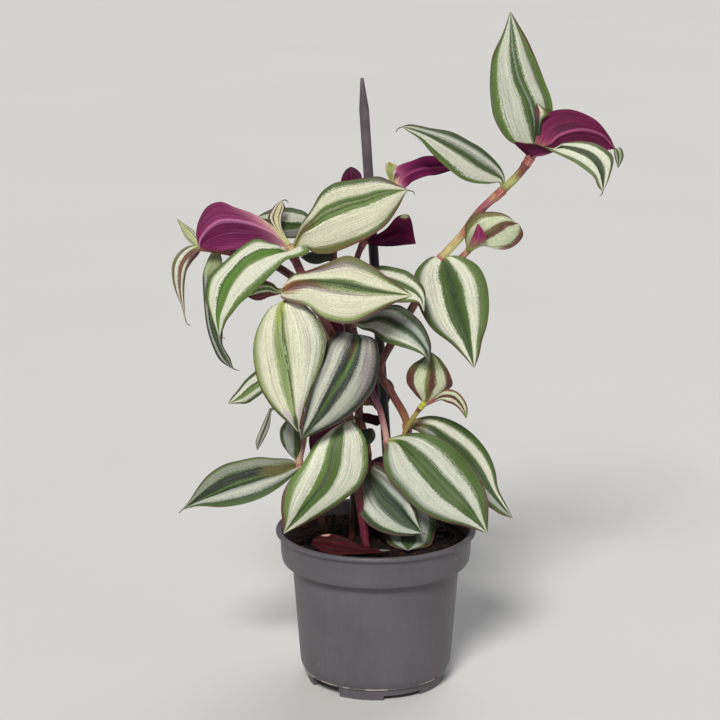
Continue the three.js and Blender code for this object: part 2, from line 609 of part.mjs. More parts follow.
function soilSolid() {
  const gap = clearance;
  const foot = bodyFootRadius - wallThickness - gap;
  const top = bandRadius - wallThickness - gap;
  const profile = [
    [0, floorTop + gap], [foot - 2, floorTop + gap], [foot, bodyFoot],
    [bodyTopRadius - wallThickness - gap, bandFoot - 1],
    [top - 2.6, bandFoot + 1.4 + gap], [top - 0.2, bandFoot + 4],
    [top, soilHeight], [38, soilHeight], [26, soilHeight], [13, soilHeight], [0, soilHeight],
  ];
  const body = turned(profile, potSides);
  const position = body.attributes.position;
  for (let index = 0; index < position.count; index += 1) {
    const [x, y, z] = [position.getX(index), position.getY(index), position.getZ(index)];
    if (z < soilHeight - 0.1) continue;
    position.setZ(index, z + soilWave * Math.sin(x / 11 + 1) * Math.cos(y / 9 - 0.5));
  }
  return toSolid(body);
}

let soil = soilSolid().subtract(makeStake(clearance));
for (const name of [...Object.keys(stems), 'leaf_dry']) soil = soil.subtract(cutter(name));
add('soil', soil, potting);

export default group;
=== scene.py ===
import math
import random

import bpy
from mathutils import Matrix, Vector, noise


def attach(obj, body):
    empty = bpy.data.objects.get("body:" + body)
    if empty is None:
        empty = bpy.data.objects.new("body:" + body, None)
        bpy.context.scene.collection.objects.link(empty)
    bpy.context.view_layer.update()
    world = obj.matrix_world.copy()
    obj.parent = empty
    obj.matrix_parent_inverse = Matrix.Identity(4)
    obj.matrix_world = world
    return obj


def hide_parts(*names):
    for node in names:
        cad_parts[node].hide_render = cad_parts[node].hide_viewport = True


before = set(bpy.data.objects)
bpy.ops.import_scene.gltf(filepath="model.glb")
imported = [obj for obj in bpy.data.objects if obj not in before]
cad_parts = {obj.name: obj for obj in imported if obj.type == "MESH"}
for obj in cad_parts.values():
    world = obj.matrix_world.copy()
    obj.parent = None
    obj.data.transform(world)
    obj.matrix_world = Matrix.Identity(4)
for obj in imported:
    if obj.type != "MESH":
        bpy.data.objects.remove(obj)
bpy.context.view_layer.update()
mm = 0.001


# Camera first, at the photograph's view

view = {"place": (-0.0083, -1.150, 0.458), "pitch": 13.9, "lens": 114.7, "sensor": 36}


def makeCamera():
    bpy.ops.object.camera_add(location=view["place"], rotation=(math.radians(90 - view["pitch"]), 0, 0))
    camera = bpy.context.object
    camera.name = "camera"
    camera.data.lens = view["lens"]
    camera.data.sensor_width = view["sensor"]
    bpy.context.scene.camera = camera


makeCamera()
print("camera placed")


# Shader maths as plain expressions, and one method for every other node

def ink(colour):
    # a screen colour as the linear one that shaders take
    shares = [c / 255 for c in colour]
    return (*(c / 12.92 if c <= 0.04045 else ((c + 0.055) / 1.055) ** 2.4 for c in shares), 1.0)


class Socket:
    def __init__(self, finish, output):
        self.finish = finish
        self.output = output

    def maths(self, operation, first, second=0.0):
        return self.finish.node("ShaderNodeMath", {"operation": operation}, {0: first, 1: second})

    def __add__(self, other):
        return self.maths("ADD", self, other)

    def __radd__(self, other):
        return self.maths("ADD", other, self)

    def __sub__(self, other):
        return self.maths("SUBTRACT", self, other)

    def __rsub__(self, other):
        return self.maths("SUBTRACT", other, self)

    def __mul__(self, other):
        return self.maths("MULTIPLY", self, other)

    def __rmul__(self, other):
        return self.maths("MULTIPLY", other, self)

    def __truediv__(self, other):
        return self.maths("DIVIDE", self, other)

    def __pow__(self, other):
        return self.maths("POWER", self, other)

    def __abs__(self):
        return self.maths("ABSOLUTE", self)

    def smooth(self, low, high):
        # 0 below low and 1 above high, with soft ends; low may be the larger one
        if low > high:
            return 1 - self.smooth(high, low)
        return self.finish.node("ShaderNodeMapRange", {"interpolation_type": "SMOOTHSTEP"},
                                {"Value": self, "From Min": low, "From Max": high})


class Finish:
    def __init__(self, name, **constants):
        self.material = bpy.data.materials.new(name)
        self.material.use_nodes = True
        self.tree = self.material.node_tree
        self.tree.nodes.clear()
        self.shader = self.tree.nodes.new("ShaderNodeBsdfPrincipled")
        end = self.tree.nodes.new("ShaderNodeOutputMaterial")
        self.tree.links.new(self.shader.outputs[0], end.inputs["Surface"])
        for socket, value in constants.items():
            self.shader.inputs[socket.replace("_", " ")].default_value = value

    def node(self, kind, settings=None, inputs=None, output=0):
        made = self.tree.nodes.new(kind)
        for key, value in (settings or {}).items():
            if key == "stops":
                self.setStops(made.color_ramp, value)
            else:
                setattr(made, key, value)
        for key, value in (inputs or {}).items():
            if isinstance(value, Socket):
                self.tree.links.new(value.output, made.inputs[key])
            else:
                made.inputs[key].default_value = value
        return Socket(self, made.outputs[output])

    def setStops(self, ramp, stops):
        while len(ramp.elements) > 1:
            ramp.elements.remove(ramp.elements[0])
        for index, (place, colour) in enumerate(stops):
            element = ramp.elements[0] if index == 0 else ramp.elements.new(place)
            element.position = place
            element.color = ink(colour)

    def wire(self, value, socket):
        self.tree.links.new(value.output, self.shader.inputs[socket])

    def place(self):
        return self.node("ShaderNodeTexCoord", output="Object")

    def split(self, vector):
        parts = self.node("ShaderNodeSeparateXYZ", inputs={0: vector})
        outputs = parts.output.node.outputs
        return [Socket(self, outputs[axis]) for axis in range(3)]

    def mapped(self):
        # across and along, from the piece's own map
        return self.split(self.node("ShaderNodeUVMap", {"uv_map": "UVMap"}))[:2]

    def join(self, x, y, z):
        return self.node("ShaderNodeCombineXYZ", inputs={0: x, 1: y, 2: z})

    def noise(self, vector, scale, detail=2.0, roughness=0.5):
        return self.node("ShaderNodeTexNoise", inputs={
            "Vector": vector, "Scale": scale, "Detail": detail, "Roughness": roughness})

    def mix(self, factor, first, second):
        first, second = (c if isinstance(c, Socket) else ink(c) for c in (first, second))
        return self.node("ShaderNodeMix", {"data_type": "RGBA"}, {0: factor, 6: first, 7: second}, output=2)

    def brighten(self, colour, factor):
        return self.node("ShaderNodeVectorMath", {"operation": "SCALE"}, {0: colour, "Scale": factor})

    def ramp(self, value, stops):
        return self.node("ShaderNodeValToRGB", {"stops": stops}, {0: value})

    def bump(self, height, strength, distance):
        bumped = self.node("ShaderNodeBump", inputs={
            "Height": height, "Strength": strength, "Distance": distance})
        self.wire(bumped, "Normal")


# Smooth curves through a list of points, in the same spacing as the CAD model's

class Curve:
    def __init__(self, points):
        self.points = [Vector(point) for point in points]

    def at(self, t):
        points = self.points
        count = len(points)
        place = max(0.0, min(1.0, t)) * (count - 1)
        index = min(int(place), count - 2)
        weight = place - index
        second, third = points[index], points[index + 1]
        first = points[index - 1] if index > 0 else 2 * points[0] - points[1]
        fourth = points[index + 2] if index + 2 < count else 2 * points[-1] - points[-2]
        gaps = [max((b - a).length, 1e-6) ** 0.5 for a, b in ((first, second), (second, third), (third, fourth))]
        leave = ((second - first) / gaps[0] - (third - first) / (gaps[0] + gaps[1])
                 + (third - second) / gaps[1]) * gaps[1]
        arrive = ((third - second) / gaps[1] - (fourth - second) / (gaps[1] + gaps[2])
                  + (fourth - third) / gaps[2]) * gaps[1]
        return (second + leave * weight + (3 * (third - second) - 2 * leave - arrive) * weight ** 2
                + (2 * (second - third) + leave + arrive) * weight ** 3)

    def heading(self, t):
        return (self.at(min(1, t + 1e-4)) - self.at(max(0, t - 1e-4))).normalized()

    def nearest(self, target, steps=240):
        target = Vector(target)
        return min((i / steps for i in range(steps + 1)), key=lambda t: (self.at(t) - target).length)

    def length(self, steps=60):
        places = [self.at(i / steps) for i in range(steps + 1)]
        return sum((b - a).length for a, b in zip(places, places[1:]))


# Mesh helpers

def deselectAll():
    if bpy.context.object and bpy.context.object.mode != "OBJECT":
        bpy.ops.object.mode_set(mode="OBJECT")
    bpy.ops.object.select_all(action="DESELECT")


def selectOnly(piece):
    deselectAll()
    bpy.context.view_layer.objects.active = piece
    piece.select_set(True)


def applyModifier(piece, kind, **settings):
    selectOnly(piece)
    modifier = piece.modifiers.new(kind.lower(), kind)
    for key, value in settings.items():
        setattr(modifier, key, value)
    bpy.ops.object.modifier_apply(modifier=modifier.name)


def joinPieces(pieces, name):
    deselectAll()
    for piece in pieces:
        piece.select_set(True)
    bpy.context.view_layer.objects.active = pieces[0]
    bpy.ops.object.join()
    pieces[0].name = name
    return pieces[0]


def gridSheet(name, across, along):
    # a flat sheet whose map runs across and along it, ready to be bent into shape
    deselectAll()
    bpy.ops.mesh.primitive_grid_add(x_subdivisions=across, y_subdivisions=along, size=1, location=(0, 0, 0))
    sheet = bpy.context.object
    sheet.name = name
    sheet.data.name = name
    return sheet


def bendSheet(sheet, shape, mapAcross=lambda share: share):
    # shape(across, along) gives the place in millimetres, both from 0 to 1
    mesh = sheet.data
    layer = mesh.uv_layers[0].data
    shares = [(vertex.co.x + 0.5, vertex.co.y + 0.5) for vertex in mesh.vertices]
    for vertex, (across, along) in zip(mesh.vertices, shares):
        vertex.co = shape(across, along) * mm
    for loop in mesh.loops:
        across, along = shares[loop.vertex_index]
        layer[loop.index].uv = (mapAcross(across), along)
    mesh.update()


def faceOut():
    bpy.ops.mesh.select_all(action="SELECT")
    bpy.ops.mesh.normals_make_consistent(inside=False)
    bpy.ops.object.mode_set(mode="OBJECT")


def smoothBelow(degrees):
    bpy.ops.object.shade_smooth_by_angle(angle=math.radians(degrees))


def finishPiece(piece, node, material=None):
    if material:
        piece.data.materials.clear()
        piece.data.materials.append(material)
    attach(piece, "root")
    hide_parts(node)


# Stems

stems = {
    "stem_right": {
        "radius": 2.1, "slot": "red_stem",
        "route": [(9, 6, 55), (11, 4, 77), (14, 0, 114), (16, -1, 140), (9, 1, 154), (2.1, 3, 167), (8, 2, 182),
                  (20, 0, 203.5), (32.5, -2, 226.5), (43.5, -3, 239.5), (52.5, -3, 252), (64, -3, 262.7),
                  (72.4, -4, 271.6), (79.8, -5, 283.5)],
        "tones": [(0, (70, 28, 34)), (0.18, (96, 46, 34)), (0.215, (150, 112, 64)), (0.245, (142, 100, 58)),
                  (0.27, (108, 58, 42)), (0.3, (88, 38, 36)), (0.36, (90, 34, 40)), (0.5, (96, 38, 48)),
                  (0.55, (170, 140, 96)), (0.58, (210, 204, 134)), (0.68, (208, 198, 130)),
                  (0.7, (190, 130, 112)), (0.725, (140, 112, 72)), (0.755, (140, 100, 74)),
                  (0.77, (158, 78, 100)), (0.8, (166, 92, 106)), (0.815, (190, 150, 110)), (0.84, (150, 84, 70)),
                  (0.85, (110, 70, 50)), (0.865, (172, 178, 102)), (0.905, (174, 178, 108)), (0.92, (116, 74, 54)),
                  (0.94, (114, 52, 52)), (1, (106, 48, 52))],
        "sheath": ((196, 140, 122), (140, 52, 68)),
    },
    "stem_left": {
        "radius": 2.2, "slot": "red_stem",
        "route": [(-4, -7, 55), (-5.2, -9, 75.4), (-7.3, -12, 93), (-9.3, -14, 107.3), (-13.4, -15, 145),
                  (-16, -15, 160), (-21, -17, 186.4), (-27.4, -20, 201), (-36.5, -26, 222), (-40.2, -27, 230.5),
                  (-43.8, -27, 239)],
        "tones": [(0, (70, 14, 34)), (0.14, (120, 26, 64)), (0.28, (104, 28, 54)), (0.4, (84, 36, 38)),
                  (0.5, (96, 44, 42)), (0.7, (150, 92, 88)), (0.82, (110, 44, 58)), (0.95, (106, 38, 52)),
                  (1, (150, 110, 80))],
        "sheath": ((220, 210, 150), (176, 110, 110)),
    },
    "stem_middle": {
        "radius": 1.6, "slot": "red_stem",
        "route": [(4.5, 2, 55), (5.2, 1, 76.5), (6.4, -2, 98.4), (5.7, -4, 130.3), (1, -2, 150), (-3.1, -1, 158.7),
                  (-9, 1, 181), (-12.4, 1, 193.3), (-12.4, 2, 210), (-9.8, 3, 226.5), (-5.7, 3, 236),
                  (4, 3, 250.4), (12.5, 3, 262)],
        "tones": [(0, (60, 20, 30)), (0.2, (120, 70, 66)), (0.25, (218, 178, 168)), (0.3, (208, 150, 156)),
                  (0.335, (164, 88, 120)), (0.37, (96, 52, 92)), (0.42, (70, 36, 72)), (0.6, (90, 38, 58)),
                  (1, (120, 70, 70))],
        "sheath": ((188, 130, 120), (120, 48, 66)),
    },
    "stem_dark": {
        "radius": 2.0, "slot": "red_stem",
        "route": [(-14, 6, 55), (-12.5, 4, 76.6), (-11, 3, 114), (-9.5, 3, 138), (-8.5, -1, 155.5), (-11, -8, 173),
                  (-14, -12, 190), (-17.4, -11, 208), (-21, -9, 224), (-22.5, -8, 236.5)],
        "tones": [(0, (40, 12, 20)), (0.4, (66, 24, 30)), (0.7, (84, 44, 40)), (1, (104, 76, 56))],
        "sheath": ((96, 62, 54), (70, 26, 36)),
    },
    "stem_low_left": {
        "radius": 1.8, "slot": "red_stem",
        "route": [(-21, -1, 58), (-25, -3, 75), (-32, -6, 99.6), (-39.5, -8, 120), (-37.5, -5, 134), (-40, -2, 150),
                  (-43, -1, 168)],
        "tones": [(0, (60, 22, 28)), (0.3, (104, 56, 52)), (0.45, (208, 172, 150)), (0.75, (212, 180, 156)),
                  (1, (170, 120, 110))],
    },
    "stem_far_left": {
        "radius": 2.0, "slot": "red_stem",
        "route": [(-36, -26, 220), (-42, -24.5, 222.5), (-50, -22, 227), (-70, -17, 233), (-88.5, -14, 236)],
        "tones": [(0, (92, 40, 46)), (0.4, (78, 30, 44)), (0.8, (96, 44, 54)), (1, (150, 110, 90))],
        "sheath": ((170, 110, 96), (110, 36, 52)),
    },
    "shoot_axil": {
        "radius": 1.3, "slot": "red_stem",
        "route": [(31, -2, 224), (36, -0.5, 223), (40.5, 0, 225), (44.5, -1, 228.5), (47, -2, 231.5)],
        "tones": [(0, (140, 120, 80)), (0.5, (150, 86, 84)), (1, (160, 100, 96))],
    },
    "shoot_side": {
        "radius": 1.25, "slot": "green_stem",
        "route": [(14, 0, 116), (14, -3.6, 124), (14.8, -5, 135.7), (18.5, -7.5, 143.5), (22.6, -9, 150),
                  (25.2, -9, 153)],
        "tones": [(0, (146, 112, 62)), (0.4, (158, 140, 74)), (0.72, (164, 156, 78)), (0.76, (104, 54, 42)),
                  (0.84, (108, 58, 44)), (0.88, (186, 196, 66)), (1, (196, 198, 84))],
        "sheath": ((186, 194, 70), (180, 176, 84)), "sheathLength": 3.2,
    },
    "stem_back": {
        "radius": 2.0, "slot": "red_stem",
        "route": [(-2, 20, 55), (-2, 24, 76), (-3, 30, 100), (-6, 33, 124), (-13, 33, 150), (-22, 28, 172),
                  (-29, 22, 190)],
        "tones": [(0, (60, 22, 28)), (0.3, (104, 52, 50)), (0.65, (138, 84, 70)), (1, (160, 140, 96))],
    },
}

stemCurves = {name: Curve(stem["route"]) for name, stem in stems.items()}


# Leaves. Each lies along its midrib from base to point, and hook is a fine curled point past that. A row holds
# a place on the midrib and then one on the edge of each half, minus and plus. The leaves at the back have a
# spine instead: face is the way the upper side looks, rise and droop bend the halves, lobe rounds the base,
# neck and tip narrow the ends and peak moves the widest place.

leafShape = {
    "grid": (26, 56), "smallGrid": (14, 28), "crowding": 0.4, "smoothAngle": 60,
    "thickness": 0.3, "groove": 0.4, "grooveReach": 0.9, "ripple": 0.35, "waves": 2.3, "unevenness": 0.5,
    "arch": 0.09, "baseHalf": 1.4, "tipHalf": 0.3, "hookRows": 0.1, "hook": [],
    "neck": 0.7, "tip": 1.1, "peak": 0.75, "lobe": 0, "rise": 12, "droop": 36, "flutter": 0.018, "spineArch": 0.02,
}

leafTints = {
    # ash is painted shade: the grey that the silver bands take where they lie in shade
    "silver": (226, 230, 208), "cream": (232, 232, 204), "frost": (210, 215, 196), "ash": (166, 174, 162),
    "pale": (168, 182, 128), "leafy": (106, 134, 62), "green": (80, 106, 48), "deep": (54, 80, 32),
    "vivid": (88, 132, 40), "dark": (34, 52, 30), "murk": (52, 70, 68), "olive": (116, 112, 62),
    "lime": (166, 180, 76), "straw": (214, 210, 140), "mint": (206, 214, 180), "night": (22, 38, 16),
    # shade is a painted shadow tint, laid on leaf_shaded where the large leaf over it casts its shadow
    "lilac": (204, 188, 196), "rosy": (150, 66, 88), "slate": (140, 148, 128), "shade": (66, 70, 54),
    "brown": (94, 52, 40), "rust": (150, 98, 66), "bronze": (98, 66, 50), "wine": (98, 38, 50),
    "pink": (206, 164, 154), "mauve": (140, 120, 134), "dryWine": (74, 15, 27), "dryDark": (42, 9, 17),
}

# Tints in bands lie at hundredths of the way from the midrib to the edge, on both halves or on each apart.
# A patch has a place across and along the leaf, its width and length, a tint and a strength.
leafLook = {
    "bands": "0 deep, 6 green, 22 green, 29 silver, 70 silver, 80 leafy, 100 green", "bandReach": 0.98,
    "rim": "bronze", "base": "lime", "baseReach": 0.16, "wobble": 0.15, "tipGreen": 0.35, "patches": [],
    "hookTint": "bronze", "hookFade": (0.87, 0.93), "tone": 0.86, "shine": 0.38, "grain": 0.16, "mauve": 0.35,
    "under": (106, 30, 70), "underDark": (64, 14, 42), "underBase": (196, 140, 136), "underLine": (168, 92, 130),
    "underRoot": (206, 200, 130), "underReach": 0.2, "underSlant": 0, "underPatches": [], "underShine": 0.12,
    "underTone": 0.86,
}

leaves = {
    "leaf_top": {
        "stem": "stem_right", "base": (80, -5, 284), "point": (66.5, -2, 352),
        "rows": [(79.5, -3.5, 290, 67.5, -1, 287.5, 86.5, -1.5, 289.5),
                 (78.5, -4, 298, 60, -0.5, 297.5, 88, -1.5, 298.5),
                 (75, -5.5, 309, 57.5, -1.5, 309.5, 87.5, -2.5, 308),
                 (70, -7, 319, 57, -3, 321, 83.5, -3, 318.5), (67, -6.5, 330.5, 58, -3.5, 330.5, 78.5, -3, 330),
                 (66.5, -4, 342.5, 63, -3, 341.5, 73, -2, 341.5)],
        "look": {"tone": 0.79, "minus": "0 deep, 5 green, 12 green, 17 frost, 70 frost, 80 leafy, 100 green",
                 "plus": "0 deep, 8 ash, 14 green, 27 green, 33 frost, 62 frost, 71 green, 100 leafy"},
    },
    "leaf_arching": {
        "stem": "stem_right", "slot": "purple_leaf", "base": (79.5, -5, 282), "point": (121.5, -8, 275),
        "rows": [(83.5, -8, 285.5, 86, -7, 284, 80, -7.5, 287.5),
                 (87, -9, 287.5, 90, -7, 284.5, 81, -7.5, 294.5),
                 (91, -9, 291, 94.5, -6.5, 284.5, 83.5, -6, 300.5), (96, -8.5, 293, 99.5, -6, 284, 89, -5, 303),
                 (102.5, -8, 294, 105, -5.5, 284, 96.5, -4, 303.5),
                 (108.5, -7, 293, 110, -5, 283.5, 104, -3.5, 301.5),
                 (114, -6, 290.5, 114, -4.5, 283, 111, -3.5, 297.5),
                 (118.5, -5, 285.5, 119.5, -4, 284, 117.5, -4, 289),
                 (120.5, -5.5, 283.5, 122.5, -5, 284.5, 119, -5, 286.5),
                 (121.5, -6, 280, 124, -6, 280.5, 120, -6, 280)],
        "look": {"patches": [(0, 1, 4, 0.2, "deep", 0.6)], "under": (122, 28, 76), "underDark": (70, 14, 42),
                 "underBase": (168, 84, 106), "underRoot": (214, 160, 150), "underLine": (176, 92, 134),
                 "underReach": 0.2},
    },
    "leaf_lower_right": {
        "stem": "stem_right", "base": (78.5, -5, 279), "point": (112, -26.5, 266),
        "hook": [(111.5, -27, 264.5), (110.5, -27, 263.5)],
        "rows": [(79, -8, 281, 81.5, -6, 283, 69.5, -10, 288),
                 (83, -9, 281.5, 85.5, -6.5, 284.5, 74.5, -12, 288),
                 (87.5, -9.5, 283, 89.5, -8, 285.5, 80.5, -13, 287.5),
                 (91, -11, 285, 92.5, -9.5, 287.5, 86.5, -13, 284.5),
                 (93, -14, 286.5, 93.5, -13, 288, 91.5, -15, 282.5),
                 (100.5, -17.5, 285, 102, -15, 289, 98.5, -19, 279.5),
                 (106.5, -20, 282, 110.5, -16.5, 287.5, 104, -22, 276),
                 (110.5, -22.5, 276.5, 117.5, -17.5, 282, 108, -24, 272.5),
                 (112, -24.5, 270.5, 115.5, -22.5, 273, 110, -26, 268)],
        "look": {"minus": "0 dark, 22 deep, 34 silver, 70 silver, 82 green, 100 green",
                 "plus": "0 deep, 16 green, 26 silver, 66 silver, 78 green, 100 leafy", "baseReach": 0,
                 "hookTint": "dryDark", "under": (98, 18, 60), "underDark": (62, 8, 38),
                 "underBase": (90, 24, 60), "underRoot": (84, 18, 50)},
    },
    "leaf_young_top": {
        "stem": "stem_right", "slot": "bronze_leaf", "small": True, "base": (80, -5, 284),
        "point": (80, -8, 307.5),
        "rows": [(80.5, -8, 290.5, 79.5, -7, 290, 82, -7, 290.5), (81, -9, 298, 79.5, -7.5, 297.5, 83, -8, 299),
                 (81, -9, 303.5, 79, -7.5, 303.5, 86, -7.5, 302)],
        "look": {"minus": "0 rosy, 10 wine, 35 brown, 100 dark",
                 "plus": "0 rosy, 12 pink, 30 cream, 55 leafy, 100 wine", "baseReach": 0,
                 "patches": [(0, 0.2, 4, 0.42, "dark", 0.95)]},
    },
    "leaf_reaching": {
        "stem": "stem_right", "base": (63.5, -3, 263), "point": (12.5, -12, 296),
        "hook": [(10.5, -12, 295), (9.5, -12, 293.5)],
        "rows": [(63.5, -3.5, 268, 62.5, -4, 267, 64, -2.5, 269.5),
                 (60, -4.5, 271, 55.5, -5.5, 266.5, 61.5, -1, 275.5),
                 (52.5, -6, 275.5, 45, -8, 268.5, 54.5, -1, 282.5),
                 (44.5, -7.5, 281.5, 36, -10, 275, 46, -3, 287.5),
                 (35.5, -9.5, 287, 27.5, -11, 283, 37, -5.5, 292.5),
                 (25.5, -11, 292, 21, -12, 290.5, 26.5, -9, 295), (17, -12, 295, 16, -12.5, 294, 16.5, -11, 297)],
        "look": {"tone": 0.69, "minus": "0 deep, 8 green, 15 green, 20 silver, 72 silver, 82 green, 100 leafy",
                 "plus": "0 deep, 15 green, 25 ash, 45 silver, 60 ash, 75 deep, 100 green"},
    },
    "leaf_small_right": {
        "stem": "shoot_axil", "slot": "bronze_leaf", "base": (47, -2.5, 231.5), "point": (72.5, -5, 245.5),
        "rows": [(50, -5.5, 235.5, 45.5, -4.5, 240, 51, -5.5, 234),
                 (53.5, -9, 238, 45.5, -6.5, 246, 54.5, -8, 235),
                 (57.5, -11, 241.5, 50.5, -8.5, 251.5, 60, -9.5, 234),
                 (61, -11, 244.5, 57.5, -9, 252.5, 66, -8.5, 233.5), (65, -11, 247, 63, -10, 252, 71, -8.5, 236),
                 (68, -9.5, 247, 67, -9, 250, 74, -7.5, 240), (70.5, -7, 246.5, 70, -7, 247, 73.5, -6.5, 243.5)],
        "look": {"mauve": 0.1,
                 "minus": "0 brown, 10 olive, 20 bronze, 30 mint, 64 mint, 76 olive, 93 olive, 100 brown",
                 "plus": "0 brown, 16 bronze, 26 mint, 66 mint, 76 mint, 84 olive, 95 brown, 100 pink",
                 "rim": "bronze",
                 "patches": [(0.85, 0.85, 0.35, 0.25, "brown", 0.85), (0.9, 0.25, 0.4, 0.2, "mint", 0.8)]},
    },
    "bract_right": {
        "stem": "shoot_axil", "slot": "purple_leaf", "small": True, "base": (47, -2.5, 231),
        "point": (51, -14, 247.5),
        "rows": [(49.5, -12, 236, 52.5, -11.5, 236.5, 47, -11.5, 236),
                 (51, -14, 239.5, 55, -13, 239.5, 48, -13.5, 239.5),
                 (51.5, -14, 243, 54, -13.5, 243, 49.5, -13.5, 243)],
        "look": {"under": (152, 52, 96), "underDark": (124, 38, 80), "underBase": (178, 140, 112),
                 "underRoot": (196, 200, 110), "underLine": (166, 78, 114), "underReach": 0.62},
    },
    "leaf_hanging_right": {
        "stem": "stem_right", "base": (33.5, -3, 228), "point": (50, -13, 172.5),
        "rows": [(35, -5, 225.5, 41, -3, 228.5, 28, -3, 228), (36.5, -7, 219.5, 51, -3, 224, 20.5, -2.5, 221),
                 (39, -8, 212.5, 56, -3.5, 215.5, 19, -3, 213.5),
                 (41, -8.5, 203.5, 57.5, -4.5, 204.5, 22, -3.5, 203),
                 (44, -9, 194.5, 56.5, -6, 194, 28.5, -5, 191.5), (46.5, -10, 186, 54, -8, 185.5, 39, -8, 183.5),
                 (48.5, -11.5, 178, 52.5, -10.5, 178.5, 46, -11, 177)],
        "look": {"minus": "0 dark, 5 deep, 26 green, 33 silver, 62 silver, 72 leafy, 100 green",
                 "plus": "0 dark, 5 deep, 28 green, 35 silver, 72 silver, 80 ash, 88 green, 100 green"},
    },
    "leaf_purple_left": {
        "stem": "stem_left", "slot": "purple_leaf", "base": (-44, -27, 239), "point": (-88, -29, 238),
        "rows": [(-46.5, -27, 241, -46, -26.5, 242.5, -47, -26.5, 239),
                 (-52, -28, 245.5, -51.5, -27, 248, -51.5, -26.5, 240),
                 (-58.5, -29, 249, -57, -28, 252.5, -57.5, -26.5, 239.5),
                 (-64.5, -29, 251, -63, -27.5, 255.5, -63, -25, 237.5),
                 (-71, -29, 252, -70.5, -27, 258, -69, -24.5, 237),
                 (-77.5, -29, 251.5, -77.5, -26, 260.5, -74.5, -24.5, 236.5),
                 (-82, -29, 249, -84, -26, 258, -80, -25, 236),
                 (-85.5, -29, 245.5, -88.5, -27.5, 250.5, -83.5, -26.5, 236.5),
                 (-88, -29, 241.5, -89.5, -28, 244, -86, -27.5, 237)],
        "look": {"under": (134, 34, 90), "underDark": (92, 20, 60), "underBase": (212, 150, 164),
                 "underRoot": (204, 204, 146), "underLine": (210, 136, 180), "underReach": 0.42,
                 "underSlant": 0.16},
    },
    "leaf_drooping": {
        "stem": "stem_left", "base": (-43, -27, 235), "point": (-78, -39, 195),
        "hook": [(-77, -39, 194.5), (-75.5, -39, 194)],
        "rows": [(-44, -29.5, 236, -36, -31, 239.5, -45.5, -29, 237.5),
                 (-46, -31.5, 236.5, -34, -33.5, 237, -47, -30.5, 238.5),
                 (-47.5, -34, 237, -38, -35.5, 235, -49.5, -32.5, 240.5),
                 (-50, -36, 237, -45, -37, 233.5, -52.5, -34, 241.5),
                 (-57, -38, 235.5, -51, -39.5, 228, -59.5, -34.5, 243.5),
                 (-63.5, -40, 232.5, -58, -42, 221.5, -66.5, -36.5, 240),
                 (-68.5, -40.5, 227.5, -63.5, -42.5, 216.5, -75, -37, 232.5),
                 (-73, -41, 220.5, -68, -42.5, 212.5, -83, -36.5, 224.5),
                 (-76, -41, 212.5, -71.5, -42.5, 208, -85, -37.5, 214.5),
                 (-78, -41, 206.5, -74.5, -42, 204, -83, -39, 207.5),
                 (-78.5, -40, 200.5, -76.5, -40.5, 199, -80.5, -39, 200.5)],
        "look": {"mauve": 0.3, "minus": "0 vivid, 10 leafy, 18 silver, 66 silver, 78 leafy, 100 green",
                 "plus": "0 deep, 10 vivid, 24 vivid, 35 deep, 42 silver, 74 silver, 85 leafy, 100 deep",
                 "base": "frost"},
    },
    "leaf_bud_left": {
        "stem": "stem_left", "slot": "bronze_leaf", "small": True, "base": (-42.5, -27, 236),
        "point": (-47, -19, 260), "hook": [(-45.5, -19, 260.5), (-44, -19, 259)],
        "rows": [(-47.5, -23, 244, -49, -22.5, 245, -47, -22.5, 245),
                 (-49.5, -20, 248, -52, -19.5, 248, -48, -19.5, 249),
                 (-50, -19, 252, -54, -18.5, 251.5, -47.5, -18.5, 252.5),
                 (-49, -19, 256, -51.5, -18.5, 256.5, -46, -18.5, 256.5)],
        "look": {"bands": "0 straw, 22 cream, 36 rust, 48 brown, 58 cream, 76 cream, 86 wine, 100 wine",
                 "base": "straw", "hookTint": "dryDark"},
    },
    "leaf_tip_down": {
        "stem": "stem_far_left", "slot": "bronze_leaf", "small": True, "base": (-88.5, -14, 236),
        "point": (-96.5, -20, 199.5), "hook": [(-95.5, -20, 197), (-94, -20, 196.5)],
        "rows": [(-92.5, -17, 234, -90.5, -15.5, 232, -95, -15.5, 235.5),
                 (-96, -19.5, 231, -93.5, -17.5, 228, -99.5, -17.5, 233),
                 (-98, -21, 227, -95.5, -20, 225, -102.5, -19.5, 227.5),
                 (-99, -22, 221.5, -96.5, -20.5, 220, -102.5, -20.5, 221),
                 (-99, -22, 215, -97, -21, 213.5, -101, -21, 214.5),
                 (-98, -21.5, 208, -97, -21, 207, -98.5, -21, 208)],
        "look": {"bands": "0 rust, 18 brown, 32 silver, 60 silver, 70 brown, 86 olive, 100 leafy",
                 "patches": [(-0.6, 0.14, 0.5, 0.16, "wine", 0.9)]},
    },
    "leaf_tip_up": {
        "stem": "stem_far_left", "slot": "bronze_leaf", "small": True, "base": (-88, -14, 236),
        "point": (-100.5, -10, 249),
        "rows": [(-91.5, -12.5, 238.5, -93, -12, 237, -90.5, -12, 240.5),
                 (-95, -11, 242, -96.5, -10.5, 240, -92.5, -10, 243),
                 (-98, -10.5, 245.5, -98.5, -10, 244.5, -96.5, -10, 246)],
        "look": {"mauve": 0.1, "bands": "0 lime, 30 mint, 55 olive, 80 mint, 100 green"},
    },
    "leaf_long_left": {
        "stem": "stem_far_left", "base": (-80.5, -15.5, 233), "point": (-72.5, -19, 173.5),
        "hook": [(-69.5, -19, 172.5)],
        "rows": [(-81.5, -18, 231, -78.5, -16.5, 228.5, -83.5, -17.5, 231),
                 (-83.5, -21, 224, -79, -18.5, 220.5, -87, -19.5, 223.5),
                 (-84, -22, 215.5, -79.5, -19.5, 212, -87, -21, 216),
                 (-84, -23, 206, -79, -20.5, 202.5, -86.5, -22, 206.5),
                 (-82.5, -22.5, 195.5, -78, -20.5, 193.5, -85.5, -21.5, 196),
                 (-80, -22, 188, -78, -21, 186.5, -83, -20.5, 186.5),
